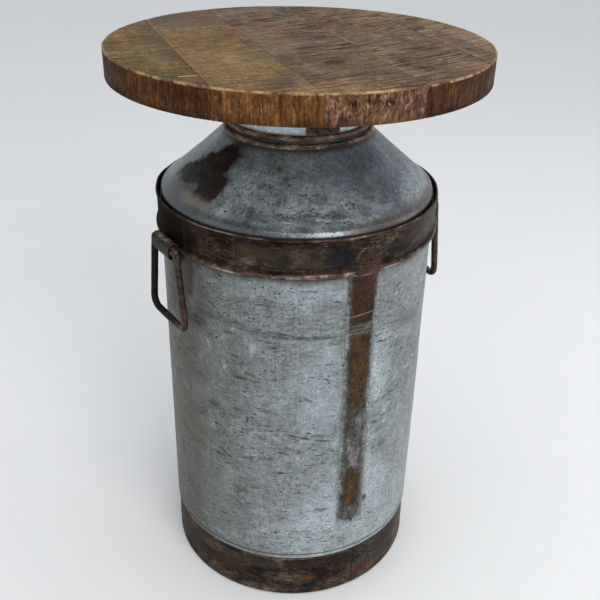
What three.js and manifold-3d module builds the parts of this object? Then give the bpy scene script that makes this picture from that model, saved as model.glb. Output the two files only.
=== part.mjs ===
// A galvanised milk can made into a side table: sheet-metal can with two hoops, a conical
// shoulder and a ringed neck, two drop handles in folded strap brackets, and a round board
// top that lifts off the neck. Millimetres, +Z up, origin at the centre of the footprint.
import * as THREE from 'three';
import { mergeVertices } from 'three/addons/utils/BufferGeometryUtils.js';
import Module from 'manifold-3d';

const wasm = await Module();
wasm.setup();

// ---- driving dimensions (mm, degrees) ----
const HEIGHT = 640;            // floor to the top face of the boards
const TOP_R = 200;             // round board top
const TOP_T = 29.3;            // board thickness
const GAP = 0.3;               // clearance between touching solids
const SEGS = 52;               // facets round the can
const NECK_SEGS = 40;          // facets round the neck

const BODY_R = 152.9;          // outside of the straight body sheet
const SHEET = 1.6;             // can sheet thickness
const BODY_TOP = 479;          // top edge of the body sheet, inside the upper hoop
const FOOT_H = 60.1;           // height of the foot hoop
const FOOT_R = 151.6;          // outside of the foot hoop
const FOOT_IN = 149.5;         // inside of the foot hoop
const JOGGLE_R = 149.1;        // outside of the body sheet inside the foot hoop

const HOOP_Z0 = 442.8;         // upper hoop, lower edge
const HOOP_Z1 = 486.4;         // upper hoop, upper edge
const HOOP_IN = BODY_R + GAP;  // upper hoop, inside
const HOOP_R = 156.2;          // upper hoop, outside of the plain band
const HOOP_BEAD = 157.8;       // crest of the lower bead

const CONE_R0 = 147.6;         // shoulder cone, foot radius
const CONE_Z0 = 489.2;         // shoulder cone, foot height
const CONE_R1 = 78.4;          // shoulder cone, radius where it meets the neck
const CONE_Z1 = 551.8;

const NECK_R = 75.4;           // neck collar, outside
const RING1 = { r: 81.5, z0: 549.6, z1: 555.6 };
const RING2 = { r: 78.2, z0: 558.3, z1: 563.2 };

const SEAM_AZ = 26.7;          // side seam, degrees from the front towards +X
const SEAM_TOP_W = 33;         // seam strap width at the hoop
const SEAM_END_W = 27;         // seam strap width at its lower end
const SEAM_Z0 = 116;           // seam strap, lower end
const STRAP_T = 1.2;           // seam strap thickness
const PLATE_AZ = 19.5;         // neck seam plate, centre azimuth
const PLATE_HALF = 13.5;       // neck seam plate, half its angular width

const LEFT_AZ = -56.3;         // handles, degrees from the front towards +X
const RIGHT_AZ = 110;
const PIVOT_R = 164.4;         // handle top bar: distance from the can's axis
const PIVOT_Z = 451;
const ROD_R = 3.9;             // handle rod radius
const LOOP_TOP = 24.5;         // half spacing of the legs at the top bar
const LOOP_BOT = 39.5;           // half spacing at the bottom bar
const LOOP_DROP = 90;        // top bar to bottom bar
const BRACKET_HALF = 20.0;     // half width of the folded strap bracket, between the legs
const STRAP_IN = 4.6;          // inside radius of the bracket's fold
const STRAP_OUT = 6.3;         // outside radius of the bracket's fold

const BOARD_ANGLE = 20;        // boards run front to back, turned this much
const SEAMS = [-133.4, -47.8, 47.0, 140.9];  // board joints across the grain
const PLUG_R = 70;             // locating disc inside the neck
const PLUG_T = 19;
const SCREW_PCD = 47;          // radius of the locating disc's screw circle
const DOWEL_R = 5;
const DOWEL_L = 40;

// ---- finishes ----
const mat = (color, roughness, metalness) =>
  new THREE.MeshStandardMaterial({ color, roughness, metalness });
const ZINC = () => mat(0x9aa3a6, 0.5, 0.75);
const DARK_ZINC = () => mat(0x70797f, 0.5, 0.7);
const RUSTY = () => mat(0x4a3a33, 0.5, 0.7);
const HANDLE = () => mat(0x54423c, 0.4, 0.8);
const WOOD_A = () => mat(0x8a6038, 0.75, 0.0);
const WOOD_B = () => mat(0x6f5138, 0.8, 0.0);
const WOOD_C = () => mat(0x5d4637, 0.8, 0.0);
const PLY = () => mat(0xb08d5e, 0.8, 0.0);
const SCREW = () => mat(0x8d8f90, 0.4, 0.9);

// ---- helpers ----
const DEG = Math.PI / 180;

// One closed body: shared vertices merged and faces turned outwards.
function closed(geometry) {
  let g = geometry.clone();
  g.deleteAttribute('normal');
  if (g.getAttribute('uv')) g.deleteAttribute('uv');
  g.morphAttributes = {};
  g = mergeVertices(g, 1e-4);
  const p = g.getAttribute('position');
  const src = g.getIndex().array;
  const tris = [];
  let vol = 0;
  const a = new THREE.Vector3(), b = new THREE.Vector3(), c = new THREE.Vector3();
  for (let i = 0; i < src.length; i += 3) {
    if (src[i] === src[i + 1] || src[i + 1] === src[i + 2] || src[i] === src[i + 2]) continue;
    tris.push(src[i], src[i + 1], src[i + 2]);
    a.fromBufferAttribute(p, src[i]);
    b.fromBufferAttribute(p, src[i + 1]);
    c.fromBufferAttribute(p, src[i + 2]);
    vol += a.dot(b.cross(c));
  }
  if (vol < 0) for (let i = 0; i < tris.length; i += 3) [tris[i], tris[i + 1]] = [tris[i + 1], tris[i]];
  g.setIndex(tris);
  return g;
}

// A profile of [radius, height] points turned about the Z axis.
function turned(points, segs) {
  const pts = points.map(([r, z]) => new THREE.Vector2(r, z));
  const g = new THREE.LatheGeometry(pts, segs);
  g.rotateX(Math.PI / 2);
  return closed(g);
}
const ring = (points, segs) => turned([...points, points[0]], segs);

function solid(g) {
  const c = closed(g);
  return new wasm.Manifold(new wasm.Mesh({
    numProp: 3,
    vertProperties: new Float32Array(c.getAttribute('position').array),
    triVerts: new Uint32Array(c.getIndex().array),
  }));
}

function fromSolid(s) {
  const m = s.getMesh();
  const g = new THREE.BufferGeometry();
  const n = m.vertProperties.length / m.numProp;
  const pos = new Float32Array(n * 3);
  for (let i = 0; i < n; i++) for (let k = 0; k < 3; k++) pos[3 * i + k] = m.vertProperties[m.numProp * i + k];
  g.setAttribute('position', new THREE.BufferAttribute(pos, 3));
  g.setIndex(Array.from(m.triVerts));
  return g;
}

function node(name, geometry, material) {
  const g = geometry.index && !geometry.getAttribute('normal') ? geometry : closed(geometry);
  g.computeVertexNormals();
  const mesh = new THREE.Mesh(g, material);
  mesh.name = name;
  return mesh;
}

const around = (r, az, z) => new THREE.Vector3(r * Math.sin(az * DEG), -r * Math.cos(az * DEG), z);

// A curved plate on a cylinder: radial span r0..r1, outline given as rows of [z, azLeft, azRight].
function curvedPlate(r0, r1, rows, steps) {
  const grid = (r) => rows.map(([z, l, q]) =>
    Array.from({ length: steps + 1 }, (_, i) => around(r, l + (q - l) * i / steps, z)));
  const outer = grid(r1), inner = grid(r0);
  const pos = [];
  const quad = (p, q, s, t) => { for (const v of [p, q, s, p, s, t]) pos.push(v.x, v.y, v.z); };
  for (let j = 0; j + 1 < rows.length; j++) for (let i = 0; i < steps; i++) {
    quad(outer[j][i], outer[j][i + 1], outer[j + 1][i + 1], outer[j + 1][i]);
    quad(inner[j][i + 1], inner[j][i], inner[j + 1][i], inner[j + 1][i + 1]);
  }
  for (let j = 0; j + 1 < rows.length; j++) {
    quad(inner[j][0], outer[j][0], outer[j + 1][0], inner[j + 1][0]);
    quad(outer[j][steps], inner[j][steps], inner[j + 1][steps], outer[j + 1][steps]);
  }
  const e = rows.length - 1;
  for (let i = 0; i < steps; i++) {
    quad(inner[0][i], inner[0][i + 1], outer[0][i + 1], outer[0][i]);
    quad(outer[e][i], outer[e][i + 1], inner[e][i + 1], inner[e][i]);
  }
  const g = new THREE.BufferGeometry();
  g.setAttribute('position', new THREE.Float32BufferAttribute(pos, 3));
  return closed(g);
}

// ---- can ----
const can = new THREE.Group();

// Body sheet: straight tube, drawn in at the foot to sit behind the foot hoop.
let bodyGeo = ring([
  [JOGGLE_R, 15], [JOGGLE_R, 60.8], [JOGGLE_R + 2.0, 63.4], [BODY_R, 67.5], [BODY_R, 445], [BODY_R, BODY_TOP],
  [BODY_R - SHEET, BODY_TOP], [BODY_R - SHEET, 445], [BODY_R - SHEET, 68.3], [JOGGLE_R + 0.4, 64.4],
  [JOGGLE_R - SHEET, 61.5], [JOGGLE_R - SHEET, 15],
], SEGS);
can.add(node('body_shell', bodyGeo, ZINC()));

// Strap soldered over the lapped side seam, its top end running up behind the hoop.
const halfAz = (w) => w / 2 / BODY_R / DEG;
const wTop = halfAz(SEAM_TOP_W), wEnd = halfAz(SEAM_END_W);
const seamRows = [
  [SEAM_Z0, SEAM_AZ - wEnd * 0.75, SEAM_AZ + wEnd * 0.55],
  [SEAM_Z0 + 7, SEAM_AZ - wEnd, SEAM_AZ + wEnd],
  [290, SEAM_AZ - (wEnd + wTop) / 2, SEAM_AZ + (wEnd + wTop) / 2],
  [468, SEAM_AZ - wTop, SEAM_AZ + wTop],
  [475.5, SEAM_AZ - wTop * 0.62, SEAM_AZ + wTop * 0.62],
];
can.add(node('body_seam_strap', curvedPlate(BODY_R + GAP, BODY_R + GAP + STRAP_T, seamRows, 4), RUSTY()));

// Bottom: shallow dished disc with a short lip turned down inside the body's foot.
const BASE_R = JOGGLE_R - SHEET - GAP;
can.add(node('base_plate', turned([
  [0, 20.5], [60, 21.2], [118, 23.2], [BASE_R - 6.5, 24.2], [BASE_R - 2.8, 22.6], [BASE_R - SHEET, 20.4], [BASE_R - SHEET, 17.2],
  [BASE_R, 17.2], [BASE_R, 21], [BASE_R - 1.6, 24.2], [BASE_R - 5.5, 25.8], [118, 24.8], [60, 22.8], [0, 22.1],
], SEGS), DARK_ZINC()));

// Foot hoop with an in-turned rim that the can stands on.
can.add(node('foot_hoop', ring([
  [147.3, 0], [149.6, 0], [FOOT_R, 1.8], [FOOT_R, FOOT_H - 0.9], [FOOT_R - 0.9, FOOT_H],
  [FOOT_IN, FOOT_H], [FOOT_IN, 3.4], [148.6, 2.4], [147.3, 2.2],
], SEGS), RUSTY()));

// Upper hoop: plain band, half-round lower bead and a thin turned upper rim. The inside is
// relieved where it passes over the seam strap.
let hoop = solid(ring([
  [HOOP_IN, HOOP_Z0 + 0.4], [HOOP_R - 0.6, HOOP_Z0], [HOOP_BEAD - 0.6, HOOP_Z0 + 1.1], [HOOP_BEAD, HOOP_Z0 + 3],
  [HOOP_BEAD - 0.7, HOOP_Z0 + 5.2], [HOOP_R, HOOP_Z0 + 7], [HOOP_R, HOOP_Z1 - 5], [HOOP_R + 0.9, HOOP_Z1 - 3.4],
  [HOOP_R + 0.9, HOOP_Z1 - 0.8], [HOOP_R + 0.2, HOOP_Z1], [HOOP_R - 1.3, HOOP_Z1], [HOOP_R - 1.6, HOOP_Z1 - 3],
  [HOOP_IN, BODY_TOP + 1],
], SEGS));
const relief = solid(curvedPlate(HOOP_IN - 1, BODY_R + GAP + STRAP_T + GAP + 0.1, [
  [440, SEAM_AZ - wTop - 0.25, SEAM_AZ + wTop + 0.25], [468.5, SEAM_AZ - wTop - 0.25, SEAM_AZ + wTop + 0.25],
  [476.4, SEAM_AZ - wTop * 0.62 - 0.35, SEAM_AZ + wTop * 0.62 + 0.35],
], 4));
hoop = hoop.subtract(relief);
can.add(node('upper_hoop', fromSolid(hoop), RUSTY()));

// A rivet seen from outside: domed head on a short shank, turned about its own axis.
function rivet(headR, headH, shankR, shankL, segs = 12) {
  const g = turned([
    [0, -shankL], [shankR, -shankL], [shankR, 0], [headR, 0], [headR * 0.92, headH * 0.5], [headR * 0.6, headH * 0.88], [0, headH],
  ], segs);
  g.rotateX(Math.PI / 2);   // +Z becomes -Y, the outward direction at azimuth 0
  return g;
}
function placeRivet(g, r, az, s, z) {
  const q = g.clone();
  q.translate(s, -r, z);
  q.rotateZ(az * DEG);
  return q;
}
can.add(node('hoop_seam_rivet', placeRivet(rivet(3.2, 1.5, 0.9, 0.0001 + 0.2), HOOP_R + GAP + 0.35, 28.2, 0, 457.5), RUSTY()));

// Shoulder: cone with a rounded foot and a skirt pushed down inside the body.
const cs = { x: CONE_R1 - CONE_R0, z: CONE_Z1 - CONE_Z0 };
const cl = Math.hypot(cs.x, cs.z);
const nx = cs.z / cl * 1.5, nz = -cs.x / cl * 1.5;    // sheet thickness along the cone's normal
const SK = BODY_R - SHEET - GAP;                       // skirt where it touches the body
can.add(node('shoulder_cone', ring([
  [SK, 460], [SK, 470], [149.4, 475], [148.9, 483], [148.7, 487.2], [CONE_R0, CONE_Z0 + 0.3], [146.2, CONE_Z0 + 1.4],
  [CONE_R1 + 0.2, CONE_Z1 - 0.2], [77.4, 553.1], [77.2, 556.6], [75.9, 556.6], [75.9, 552.9],
  [CONE_R1 - nx, CONE_Z1 - nz - 0.6], [145.6 - nx, CONE_Z0 + 1.2 - nz], [147.3, CONE_Z0 - 2.4],
  [147.3, 475], [SK - 1.5, 469.6], [SK - 1.5, 460],
], SEGS), DARK_ZINC()));

// Neck: straight collar flared a little at its foot under the cone, wired rim at the mouth.
can.add(node('neck_collar', ring([
  [76.6, 546.9], [NECK_R, 551.2], [NECK_R, 601.6], [77.0, 602.2], [78.6, 604.0], [79.0, 606.4], [78.2, 608.8], [76.2, 610.2],
  [74.2, 609.8], [73.3, 607.4], [73.8, 601.0], [73.8, 550.0], [75.5, 545.9],
], NECK_SEGS), ZINC()));
can.add(node('neck_ring_lower', ring([
  [RING1.r - 2.9, RING1.z0 + 2.5], [RING1.r - 0.6, RING1.z0 + 0.5], [RING1.r, RING1.z0 + 1.7], [RING1.r - 0.1, RING1.z0 + 3.7],
  [RING1.r - 1.2, RING1.z1 - 0.8], [RING1.r - 3.1, RING1.z1], [RING1.r - 3.8, RING1.z1 - 1.2],
], NECK_SEGS), RUSTY()));
can.add(node('neck_ring_upper', ring([
  [NECK_R + GAP, RING2.z0], [RING2.r - 0.8, RING2.z0], [RING2.r, RING2.z0 + 1.2], [RING2.r - 0.1, RING2.z1 - 1.5],
  [RING2.r - 1.2, RING2.z1], [NECK_R + GAP, RING2.z1],
], NECK_SEGS), RUSTY()));
can.add(node('neck_seam_plate', curvedPlate(NECK_R + GAP, NECK_R + GAP + 1.6, [
  [RING2.z1 + GAP, PLATE_AZ - PLATE_HALF, PLATE_AZ + PLATE_HALF], [601, PLATE_AZ - PLATE_HALF, PLATE_AZ + PLATE_HALF],
], 6), RUSTY()));
for (const [name, az] of [['plate_rivet_left', PLATE_AZ - 9], ['plate_rivet_right', PLATE_AZ + 9]])
  can.add(node(name, placeRivet(rivet(2.8, 1.4, 0.8, 0.2), NECK_R + GAP + 1.6 + GAP + 0.2, az, 0, 585), RUSTY()));

// ---- handle brackets: sheet folded over the top bar, between the legs ----
function arc(cx, cz, r, a0, a1, n) {
  return Array.from({ length: n + 1 }, (_, i) => {
    const a = (a0 + (a1 - a0) * i / n) * DEG;
    return [cx + r * Math.cos(a), cz + r * Math.sin(a)];
  });
}
// Extrudes an (outward, z) outline across the bracket, centred on s = 0.
function across(outline, half) {
  const sh = new THREE.Shape(outline.map(([x, y]) => new THREE.Vector2(x, y)));
  const g = new THREE.ExtrudeGeometry(sh, { depth: 2 * half, bevelEnabled: false });
  g.translate(0, 0, -half);
  // shape x -> outward (-Y), shape y -> +Z, depth -> +X
  const m = new THREE.Matrix4().set(0, 0, 1, 0, -1, 0, 0, 0, 0, 1, 0, 0, 0, 0, 0, 1);
  g.applyMatrix4(m);
  return g;
}
function bracketGeometry() {
  const t = STRAP_OUT - STRAP_IN;
  const rb = PIVOT_R - STRAP_OUT;                     // back face of the rear flap
  const rear0 = 438.5, front0 = 442;
  const full = [
    [rb, rear0], [rb + t, rear0],
    ...arc(PIVOT_R, PIVOT_Z, STRAP_IN, 180, 0, 10),
    [PIVOT_R + STRAP_IN, front0], [PIVOT_R + STRAP_OUT, front0],
    ...arc(PIVOT_R, PIVOT_Z, STRAP_OUT, 0, 180, 10),
  ];
  // centre tail: both flaps close under the bar, bend in below the hoop and lie on the body
  const lie = BODY_R + 0.7;
  const tail = [
    [PIVOT_R + STRAP_OUT - 0.01, 445], [PIVOT_R + STRAP_OUT - 1.4, 441], [PIVOT_R - 1.2, 435.6], [lie + 4.0, 432],
    [lie + 3.4, 429.6], [lie + 3.4, 423.8], [lie, 423.8], [lie, 434.2], [rb, 438], [rb, 441.6], [rb + t, 441.6],
    [PIVOT_R - 1.2, 440.8], [PIVOT_R + STRAP_IN, 444.6],
  ];
  const taper = new THREE.Shape([
    [-14, 447], [-13.4, 441], [-11.5, 434], [-8.6, 427.2], [-4.6, 424.2], [4.6, 424.2], [8.6, 427.2], [11.5, 434], [13.4, 441], [14, 447],
  ].map(([a, b]) => new THREE.Vector2(a, b)));
  const cut = new THREE.ExtrudeGeometry(taper, { depth: 40, bevelEnabled: false });
  cut.applyMatrix4(new THREE.Matrix4().set(1, 0, 0, 0, 0, 0, 1, -(PIVOT_R + 20), 0, 1, 0, 0, 0, 0, 0, 1));
  const s = solid(across(full, BRACKET_HALF)).add(solid(across(tail, 16)).intersect(solid(cut)));
  return fromSolid(s);
}
function loopPath() {
  // closed centreline: corners rounded, walked once; kept as dense points
  const P = [[-LOOP_TOP, 0], [LOOP_TOP, 0], [LOOP_BOT, -LOOP_DROP], [-LOOP_BOT, -LOOP_DROP]];
  const rad = [4.5, 4.5, 13, 13];
  const pts = [];
  for (let i = 0; i < 4; i++) {
    const p = new THREE.Vector2(...P[i]);
    const a = new THREE.Vector2(...P[(i + 3) % 4]).sub(p).normalize();
    const b = new THREE.Vector2(...P[(i + 1) % 4]).sub(p).normalize();
    const half = Math.acos(a.dot(b)) / 2;
    const d = rad[i] / Math.tan(half);
    const c = p.clone().add(a.clone().add(b).normalize().multiplyScalar(rad[i] / Math.sin(half)));
    const t0 = p.clone().addScaledVector(a, d).sub(c), t1 = p.clone().addScaledVector(b, d).sub(c);
    const a0 = Math.atan2(t0.y, t0.x);
    let da = Math.atan2(t1.y, t1.x) - a0;
    while (da > Math.PI) da -= 2 * Math.PI;
    while (da < -Math.PI) da += 2 * Math.PI;
    const n = i < 2 ? 4 : 6;
    for (let k = 0; k <= n; k++) {
      const w = a0 + da * k / n;
      pts.push(new THREE.Vector3(c.x + rad[i] * Math.cos(w), -PIVOT_R, PIVOT_Z + c.y + rad[i] * Math.sin(w)));
    }
  }
  return pts;
}
class ClosedPolyline extends THREE.Curve {
  constructor(points) { super(); this.points = points; }
  getPoint(t, target = new THREE.Vector3()) {
    const n = this.points.length, x = (((t % 1) + 1) % 1) * n, i = Math.floor(x + 1e-9) % n;
    return target.copy(this.points[i]).lerp(this.points[(i + 1) % n], Math.max(0, x - Math.floor(x + 1e-9)));
  }
  getPointAt(t, target) { return this.getPoint(t, target); }
  getTangent(t, target = new THREE.Vector3()) {
    const n = this.points.length, i = Math.round(t * n) % n;
    return target.copy(this.points[(i + 1) % n]).sub(this.points[(i + n - 1) % n]).normalize();
  }
  getTangentAt(t, target) { return this.getTangent(t, target); }
}
function handleGeometry() {
  const pts = loopPath();
  return closed(new THREE.TubeGeometry(new ClosedPolyline(pts), pts.length, ROD_R, 10, true));
}
for (const [side, az] of [['left', LEFT_AZ], ['right', RIGHT_AZ]]) {
  const g = new THREE.Group();
  g.rotation.z = az * DEG;
  g.add(node(`${side}_handle_bracket`, bracketGeometry(), RUSTY()));
  g.add(node(`${side}_handle`, handleGeometry(), HANDLE()));
  // two rivets through the tail, where it lies on the body
  for (const [tag, s] of [['a', -4.4], ['b', 4.4]]) {
    const r = rivet(2.3, 1.3, 0.8, 0.2);
    r.translate(s, -(BODY_R + 0.7 + 3.4 + GAP + 0.2), 427.6);
    g.add(node(`${side}_bracket_rivet_${tag}`, r, RUSTY()));
  }
  can.add(g);
}

// ---- top: five boards edge to edge, dowelled, with a locating disc screwed below ----
const top = new THREE.Group();
top.rotation.z = BOARD_ANGLE * DEG;    // in this group the boards run along Y
const zTop = HEIGHT, zBot = HEIGHT - TOP_T;
function boardOutline(x0, x1) {
  const pts = [];
  const n = 72;
  const yAt = (x) => Math.sqrt(Math.max(0, TOP_R * TOP_R - x * x));
  const a0 = Math.acos(Math.min(1, x1 / TOP_R)), a1 = Math.acos(Math.max(-1, x0 / TOP_R));
  const m = Math.max(4, Math.round((a1 - a0) / (2 * Math.PI) * n));
  for (let i = 0; i <= m; i++) { const a = a0 + (a1 - a0) * i / m; pts.push([TOP_R * Math.cos(a), TOP_R * Math.sin(a)]); }
  const low = [];
  for (let i = m; i >= 0; i--) { const a = a0 + (a1 - a0) * i / m; low.push([TOP_R * Math.cos(a), -TOP_R * Math.sin(a)]); }
  const all = [...pts, ...low];
  return all.filter((p, i) => { const q = all[(i + 1) % all.length]; return Math.hypot(p[0] - q[0], p[1] - q[1]) > 0.05; });
}
const edges = [-TOP_R, ...SEAMS, TOP_R];
const dowelY = SEAMS.map((x) => Math.sqrt(TOP_R * TOP_R - x * x) * 0.55);
const zMid = (zTop + zBot) / 2;
const screwAngles = [45, 135, 225, 315];
const woods = [WOOD_A, WOOD_A, WOOD_C, WOOD_B, WOOD_B];
for (let i = 0; i < 5; i++) {
  const x0 = edges[i] + (i > 0 ? GAP / 2 : 0), x1 = edges[i + 1] - (i < 4 ? GAP / 2 : 0);
  const sh = new THREE.Shape(boardOutline(x0, x1).map(([x, y]) => new THREE.Vector2(x, y)));
  const g = new THREE.ExtrudeGeometry(sh, { depth: TOP_T, bevelEnabled: false });
  g.translate(0, 0, zBot);
  let s = solid(g);
  SEAMS.forEach((x, k) => {
    if (k !== i && k !== i - 1) return;
    for (const d of [-1, 1]) {
      const h = new THREE.CylinderGeometry(DOWEL_R + GAP, DOWEL_R + GAP, DOWEL_L + 2, 12);
      h.rotateZ(Math.PI / 2);
      h.translate(x, d * dowelY[k], zMid);
      s = s.subtract(solid(h));
    }
  });
  for (const a of screwAngles) {
    const h = new THREE.CylinderGeometry(2.4, 2.4, 20, 10);
    h.rotateX(Math.PI / 2);
    h.translate(SCREW_PCD * Math.cos(a * DEG), SCREW_PCD * Math.sin(a * DEG), zBot + 8);
    s = s.subtract(solid(h));
  }
  top.add(node(`top_board_${i + 1}`, fromSolid(s), woods[i]()));
}
let k = 0;
SEAMS.forEach((x, j) => {
  for (const d of [-1, 1]) {
    const h = new THREE.CylinderGeometry(DOWEL_R, DOWEL_R, DOWEL_L, 12);
    h.rotateZ(Math.PI / 2);
    h.translate(x, d * dowelY[j], zMid);
    top.add(node(`board_dowel_${++k}`, closed(h), PLY()));
  }
});
// Locating disc with screw holes, and pan-head screws up into the boards.
const plugTop = zBot - GAP;
let plug = solid(turned([
  [0, plugTop - PLUG_T], [PLUG_R - 2, plugTop - PLUG_T], [PLUG_R, plugTop - PLUG_T + 2], [PLUG_R, plugTop], [0, plugTop],
], NECK_SEGS));
for (const a of screwAngles) {
  const h = new THREE.CylinderGeometry(2.6, 2.6, PLUG_T + 8, 10);
  h.rotateX(Math.PI / 2);
  h.translate(SCREW_PCD * Math.cos(a * DEG), SCREW_PCD * Math.sin(a * DEG), plugTop - PLUG_T / 2);
  plug = plug.subtract(solid(h));
}
top.add(node('locating_disc', fromSolid(plug), PLY()));
screwAngles.forEach((a, i) => {
  const head = plugTop - PLUG_T - GAP;
  const g = turned([
    [0, head - 2.4], [2.6, head - 2.2], [4.0, head - 1.2], [4.2, head], [2.0, head], [2.0, zBot + 13], [0, zBot + 16],
  ], 12);
  g.translate(SCREW_PCD * Math.cos(a * DEG), SCREW_PCD * Math.sin(a * DEG), 0);
  top.add(node(`disc_screw_${i + 1}`, g, SCREW()));
});

const object = new THREE.Group();
object.add(can, top);
export default object;
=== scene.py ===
import math
import bpy
import numpy as np
from mathutils import Matrix, Vector


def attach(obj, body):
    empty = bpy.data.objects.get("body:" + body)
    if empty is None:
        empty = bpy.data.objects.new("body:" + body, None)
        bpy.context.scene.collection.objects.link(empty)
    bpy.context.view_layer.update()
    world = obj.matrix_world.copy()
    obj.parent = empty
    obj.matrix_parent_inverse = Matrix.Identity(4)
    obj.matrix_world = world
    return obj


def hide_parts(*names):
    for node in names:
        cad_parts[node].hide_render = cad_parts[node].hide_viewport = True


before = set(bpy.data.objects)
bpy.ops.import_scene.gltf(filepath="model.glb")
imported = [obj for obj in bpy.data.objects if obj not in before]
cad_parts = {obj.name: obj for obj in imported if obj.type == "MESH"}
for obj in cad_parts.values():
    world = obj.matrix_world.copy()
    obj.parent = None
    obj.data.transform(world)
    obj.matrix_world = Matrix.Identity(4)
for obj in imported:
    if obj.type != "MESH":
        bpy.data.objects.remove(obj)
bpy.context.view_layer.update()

MM = 0.001
scene = bpy.context.scene

# ---------------------------------------------------------------- camera
PITCH, YAW, ROLL = 0.5074801, 0.0068539, 0.0223079
cam_data = bpy.data.cameras.new("camera")
cam = bpy.data.objects.new("camera", cam_data)
scene.collection.objects.link(cam)
cp, sp = math.cos(PITCH), math.sin(PITCH)
cy, sy = math.cos(YAW), math.sin(YAW)
cr, sr = math.cos(ROLL), math.sin(ROLL)
fwd = Vector((sy * cp, cy * cp, -sp))
right0 = Vector((cy, -sy, 0.0))
up0 = Vector((sy * sp, cy * sp, cp))
right = right0 * cr + up0 * sr
up = up0 * cr - right0 * sr
rot = Matrix((right, up, -fwd)).transposed()
cam.matrix_world = Matrix.Translation((0.0, -0.8825902, 0.8252706)) @ rot.to_4x4()
cam_data.sensor_width = 36.0
cam_data.lens = 50.182
cam_data.clip_start, cam_data.clip_end = 0.02, 60.0
scene.camera = cam
scene.view_settings.view_transform = "Standard"
scene.view_settings.look = "None"

# ---------------------------------------------------------------- sizes (mm), as in the CAD model
HEIGHT, TOP_R, TOP_T = 640.0, 200.0, 29.3
BODY_R, SHEET, BODY_TOP = 152.9, 1.6, 479.0
FOOT_H, FOOT_R, FOOT_IN, JOGGLE_R = 60.1, 151.6, 149.5, 149.1
HOOP_Z0, HOOP_Z1, HOOP_IN, HOOP_R = 442.8, 486.4, 153.2, 156.2
NECK_R = 75.4
SEAM_AZ, SEAM_Z0, SEAM_TOP_W, SEAM_END_W = 26.7, 116.0, 37.0, 31.0
PLATE_AZ, PLATE_HALF = 19.5, 13.5
LEFT_AZ, RIGHT_AZ = -56.3, 110.0
PIVOT_R, PIVOT_Z, ROD_R = 164.4, 451.0, 3.9
LOOP_TOP, LOOP_BOT, LOOP_DROP = 24.5, 39.5, 90.0
BOARD_ANGLE = 20.0
SEAMS = [-133.4, -47.8, 47.0, 140.9]
PLUG_R, PLUG_T, SCREW_PCD = 70.0, 19.0, 47.0
DEG = math.pi / 180.0


# ---------------------------------------------------------------- mesh helpers
def new_object(name, verts, faces, material, sharp=38.0):
    me = bpy.data.meshes.new(name)
    me.from_pydata([tuple(v) for v in np.asarray(verts, float) * MM], [], faces)
    me.validate()
    me.update()
    me.polygons.foreach_set("use_smooth", [True] * len(me.polygons))
    me.set_sharp_from_angle(angle=math.radians(sharp))
    me.materials.append(material)
    ob = bpy.data.objects.new(name, me)
    scene.collection.objects.link(ob)
    return ob


def place(ob, body, slot, *nodes):
    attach(ob, body)
    if nodes:
        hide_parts(*nodes)
    return ob


class Build:
    """Collects vertices and faces of one or more closed surfaces."""

    def __init__(self):
        self.v, self.f = [], []

    def add(self, pts):
        base = len(self.v)
        self.v.extend(np.asarray(pts, float).reshape(-1, 3).tolist())
        return base

    def wrap(self, grid, close_u=True, close_v=True):
        """grid[v][u] of points; quads between neighbours."""
        grid = np.asarray(grid, float)
        nv, nu = grid.shape[:2]
        b = self.add(grid)
        for j in range(nv if close_v else nv - 1):
            j2 = (j + 1) % nv
            for i in range(nu if close_u else nu - 1):
                i2 = (i + 1) % nu
                self.f.append((b + j * nu + i, b + j * nu + i2, b + j2 * nu + i2, b + j2 * nu + i))
        return b

    def fan(self, ring, centre, flip=False):
        c = self.add([centre])
        n = len(ring)
        for i in range(n):
            a, d = ring[i], ring[(i + 1) % n]
            self.f.append((a, c, d) if flip else (a, d, c))


def rounded(pts, radii, closed=True, k=4):
    """Corners of a polyline eased by a curve; radii is one number or one per corner."""
    out, n = [], len(pts)
    for i in range(n):
        b = np.array(pts[i], float)
        if not closed and i in (0, n - 1):
            out.append(b)
            continue
        a, c = np.array(pts[i - 1], float), np.array(pts[(i + 1) % n], float)
        u, v = a - b, c - b
        lu, lv = np.linalg.norm(u), np.linalg.norm(v)
        r = radii[i] if isinstance(radii, (list, tuple)) else radii
        ang = math.acos(max(-1.0, min(1.0, float(u @ v) / (lu * lv))))
        if r <= 0 or ang > math.pi - 0.03:
            out.append(b)
            continue
        d = min(r / math.tan(ang / 2), 0.47 * lu, 0.47 * lv)
        p0, p1 = b + u / lu * d, b + v / lv * d
        for t in np.linspace(0, 1, k + 1):
            out.append((1 - t) ** 2 * p0 + 2 * t * (1 - t) * b + t * t * p1)
    return out


def dense(pts, step, closed=True):
    out, n = [], len(pts)
    for i in range(n if closed else n - 1):
        a, b = np.array(pts[i], float), np.array(pts[(i + 1) % n], float)
        m = max(1, int(math.ceil(np.linalg.norm(b - a) / step)))
        for k in range(m):
            out.append(a + (b - a) * k / m)
    if not closed:
        out.append(np.array(pts[-1], float))
    return np.array(out)


def smooth(x, lo, hi):
    t = np.clip((x - lo) / (hi - lo), 0, 1)
    return t * t * (3 - 2 * t)


def wrap_deg(d):
    return (d + 180.0) % 360.0 - 180.0


def near_handles(th):
    a = np.degrees(th)
    d = np.minimum(np.abs(wrap_deg(a - LEFT_AZ)), np.abs(wrap_deg(a - RIGHT_AZ)))
    return smooth(d, 13.0, 24.0)


def can_dr(th, z):
    """Slow out-of-round shape shared by every sheet piece of the can, in mm."""
    d = (0.30 * np.sin(2 * th + 1.1) + 0.20 * np.sin(3 * th - 0.012 * z + 0.4)
         + 0.13 * np.sin(5 * th + 0.023 * z + 2.0) + 0.08 * np.sin(9 * th - 0.031 * z)
         + 0.05 * np.sin(17 * th + 0.057 * z + 1.3))
    return d * near_handles(th)


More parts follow.
